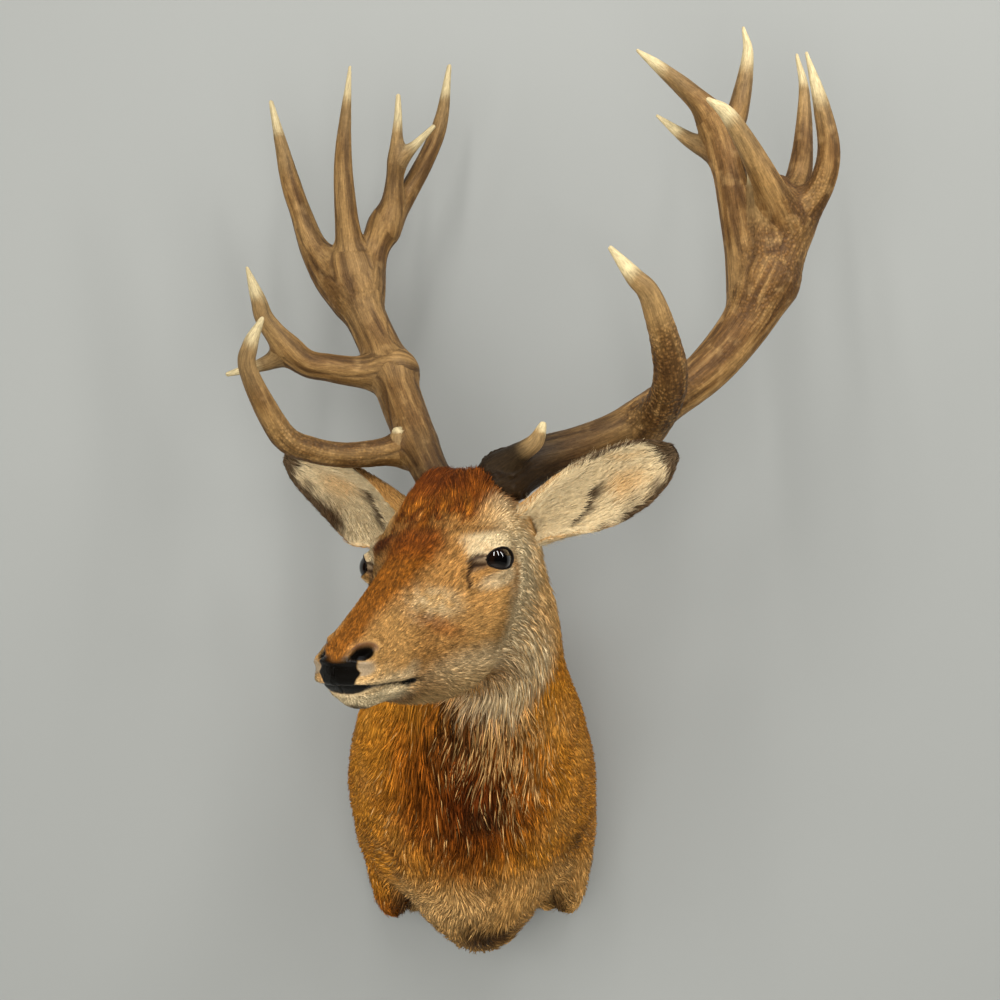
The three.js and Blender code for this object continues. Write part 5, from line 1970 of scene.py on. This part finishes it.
@dataclass(frozen=True)
class StageFinish:
    """Matt pale wall or floor; the wall is see-through from behind, so that the back can be looked at."""

    name: str
    tone: Colour
    one_sided: bool

    def make(self) -> Material:
        """A plain matt colour, mixed with a clear shader on the back of a one-sided wall."""
        n = Nodes(self.name)
        n.set(Base_Color=(*linear(*self.tone), 1.0), Roughness=0.9, Specular_IOR_Level=0.1)
        if self.one_sided:
            behind = n.add("ShaderNodeNewGeometry").outputs["Backfacing"]
            shadow = n.add("ShaderNodeLightPath").outputs["Is Shadow Ray"]
            either = n.math("MAXIMUM", behind, shadow)
            mix = n.add("ShaderNodeMixShader")
            n.tree.links.new(either, mix.inputs[0])
            n.tree.links.new(n.shader.outputs["BSDF"], mix.inputs[1])
            n.tree.links.new(n.add("ShaderNodeBsdfTransparent").outputs["BSDF"], mix.inputs[2])
            n.tree.links.new(mix.outputs["Shader"], n.output.inputs["Surface"])
        return n.material


# ---------------------------------------------------------------- putting it together


@dataclass
class Studio:
    """Camera, wall, floor and soft lights, in metres."""

    camera: Triple = (0.030, -2.600, 0.388)
    lens: float = 69.33
    wall_tone: Colour = (142, 143, 139)
    floor_height: float = -1.3
    wall_reach: float = 6.0
    wall_gap: float = 0.0003
    hole_share: float = 0.86
    world_strength: float = 0.45

    def build(self) -> None:
        """Makes the camera and everything that isn't the mount."""
        scene = bpy.context.scene
        data = bpy.data.cameras.new("camera")
        data.lens, data.sensor_width = self.lens, 36.0
        camera = bpy.data.objects.new("camera", data)
        camera.location = self.camera
        camera.rotation_euler = (math.pi / 2, 0, 0)
        scene.collection.objects.link(camera)
        scene.camera = camera
        scene.view_settings.view_transform = "Standard"
        self.card("wall", *self.wall(), True)
        floor = np.array([(x, y, self.floor_height) for x, y in ((-6, -8), (6, -8), (6, 4), (-6, 4))])
        self.card("floor", floor, np.array([[0, 1, 2, 3]]), False)
        for k, where in enumerate(((-0.37, -2.02, 2.26), (0.75, -1.86, 2.29), (1.76, -1.31, 1.93))):
            self.light(f"strip_{k}", where, (0.0, -0.42, 0.3), (0.18, 1.6), 25.0, True)
        self.light("dot", (-1.13, -2.01, 1.94), (0.0, -0.42, 0.3), (0.2, 0.2), 2.0, True)
        self.light("front", (-0.5, -3.3, 0.1), (0.0, -0.3, 0.2), (2.2, 2.2), 66.0, False)
        self.light("left_fill", (-2.2, -2.0, 0.3), (0.0, -0.3, 0.2), (1.6, 1.6), 24.0, False)
        self.light("right_fill", (2.2, -2.0, 0.3), (0.0, -0.3, 0.2), (1.6, 1.6), 10.0, False)
        self.light("low_fill", (0.4, -2.2, -1.0), (0.0, -0.2, 0.0), (1.4, 1.4), 16.0, False)
        world = bpy.data.worlds.new("world")
        world.use_nodes = True
        background = world.node_tree.nodes["Background"]
        background.inputs["Color"].default_value = (0.92, 0.90, 0.87, 1.0)
        background.inputs["Strength"].default_value = self.world_strength
        world.cycles_visibility.glossy = False
        scene.world = world

    def wall(self, columns: int = 96) -> Tuple[Array, Array]:
        """The wall's corners and faces, with a hole behind the mount so that light reaches the board.

        The hole is the trunk's first section, drawn in past the board's edge; each point is joined to the one
        of the wall's border in the same direction.
        """
        angle = np.arange(columns) * (2 * math.pi / columns)
        edge = BodyForm().points(np.zeros(columns), angle)[:, [0, 2]] * MM
        middle = edge.mean(axis=0)
        way = edge - middle
        limits = np.stack([np.abs(way[:, 0]) / self.wall_reach, way[:, 1] / (self.wall_reach - middle[1]),
                           -way[:, 1] / (middle[1] - self.floor_height)])
        rings = np.concatenate([middle + way * self.hole_share, middle + way / limits.max(axis=0)[:, None]])
        ring = np.arange(columns)
        following = (ring + 1) % columns
        faces = np.stack([ring, following, following + columns, ring + columns], -1)
        return np.stack([rings[:, 0], np.full(2 * columns, self.wall_gap), rings[:, 1]], -1), faces

    def card(self, name: str, corners: Array, faces: Array, one_sided: bool) -> None:
        """One flat backdrop."""
        made = make_mesh(name, corners / MM, [faces], {}, smooth=False)
        made.data.materials.append(StageFinish(name, self.wall_tone, one_sided).make())

    def light(self, name: str, place_at: Row, target: Row, size: Pair, power: float, mirrored: bool) -> None:
        """Area light that faces a target, with its long side upright; only a mirrored one shows in gloss."""
        data = bpy.data.lights.new(name, "AREA")
        data.shape, data.size, data.size_y, data.energy = "RECTANGLE", size[0], size[1], power
        made = bpy.data.objects.new(name, data)
        made.location = place_at
        made.visible_glossy = mirrored
        toward = Vector(target) - Vector(place_at)
        made.rotation_euler = toward.to_track_quat("-Z", "Y").to_euler()
        bpy.context.scene.collection.objects.link(made)


FLESH = ("trunk", "neck", "head", "muzzle", "lower_jaw", "nose_pad", "left_ear", "right_ear",
         "left_leg_stump", "right_leg_stump")


def build_skin(skin: Sheet, ears: Sequence[Sheet], material: Material) -> None:
    """Joins the body's skin and both ears' leaves into the one skin that replaces the flesh."""
    points, quads, fans, colours, bare, start = [], [], [], [], [], 0
    for sheet in (skin, *ears):
        rows, columns = sheet.points.shape[:2]
        count = rows * columns
        ends = np.stack([sheet.points[0].mean(0), sheet.points[-1].mean(0)])
        fan = end_fans(columns, count)
        points += [sheet.points.reshape(-1, 3), ends]
        quads.append(sheet.faces() + start)
        fans.append((fan if sheet.sense > 0 else fan[:, ::-1]) + start)
        tint = sheet.fields["colour"]
        colours += [tint.reshape(-1, 3), np.stack([tint[0].mean(0), tint[-1].mean(0)])]
        mask = sheet.fields.get("bare", np.zeros(tint.shape[:2]))
        bare += [mask.reshape(-1), np.array([mask[0].mean(), mask[-1].mean()])]
        start += count + 2
    mask = np.repeat(np.concatenate(bare)[:, None], 3, axis=1)
    leather = mask[:, :1]
    # skin under the hair is drawn darker than the coat's colours as painted shade beneath the coat; bare
    # leather keeps its colour
    tint = np.concatenate(colours) * (0.85 + 0.15 * leather)
    piece = make_mesh("skin", np.concatenate(points), [np.concatenate(quads), np.concatenate(fans)],
                      {"Markings": tint, "Bare": mask})
    place(piece, material, "coat", *FLESH)


def main() -> None:
    """Builds the mount piece by piece."""
    logging.basicConfig(level=logging.INFO, format="%(message)s")
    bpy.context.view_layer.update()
    Studio().build()
    markings = Markings(Pelt())
    skin_finish, coat_finish = SkinFinish().make(), CoatFinish().make()
    skin = Skin().sheet(markings)
    ears = [left_ear(), right_ear()]
    ear_sheets = [ear.sheet(markings) for ear in ears]
    build_skin(skin, ear_sheets, skin_finish)
    glass, rim = GlassFinish().make(), RimFinish().make()
    for sign in (1, -1):
        Eye(sign).build(glass, rim)
    bone = AntlerFinish().make()
    for antler in (left_antler(), right_antler()):
        antler.build(bone)
    StagCoat().build(skin, coat_finish)
    for ear, sheet in zip(ears, ear_sheets):
        EarCoat().build(ear, sheet, coat_finish)
    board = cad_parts["backboard"]
    board.data.materials.clear()
    board.data.materials.append(PlywoodFinish().make())


if __name__ == "__main__":
    main()
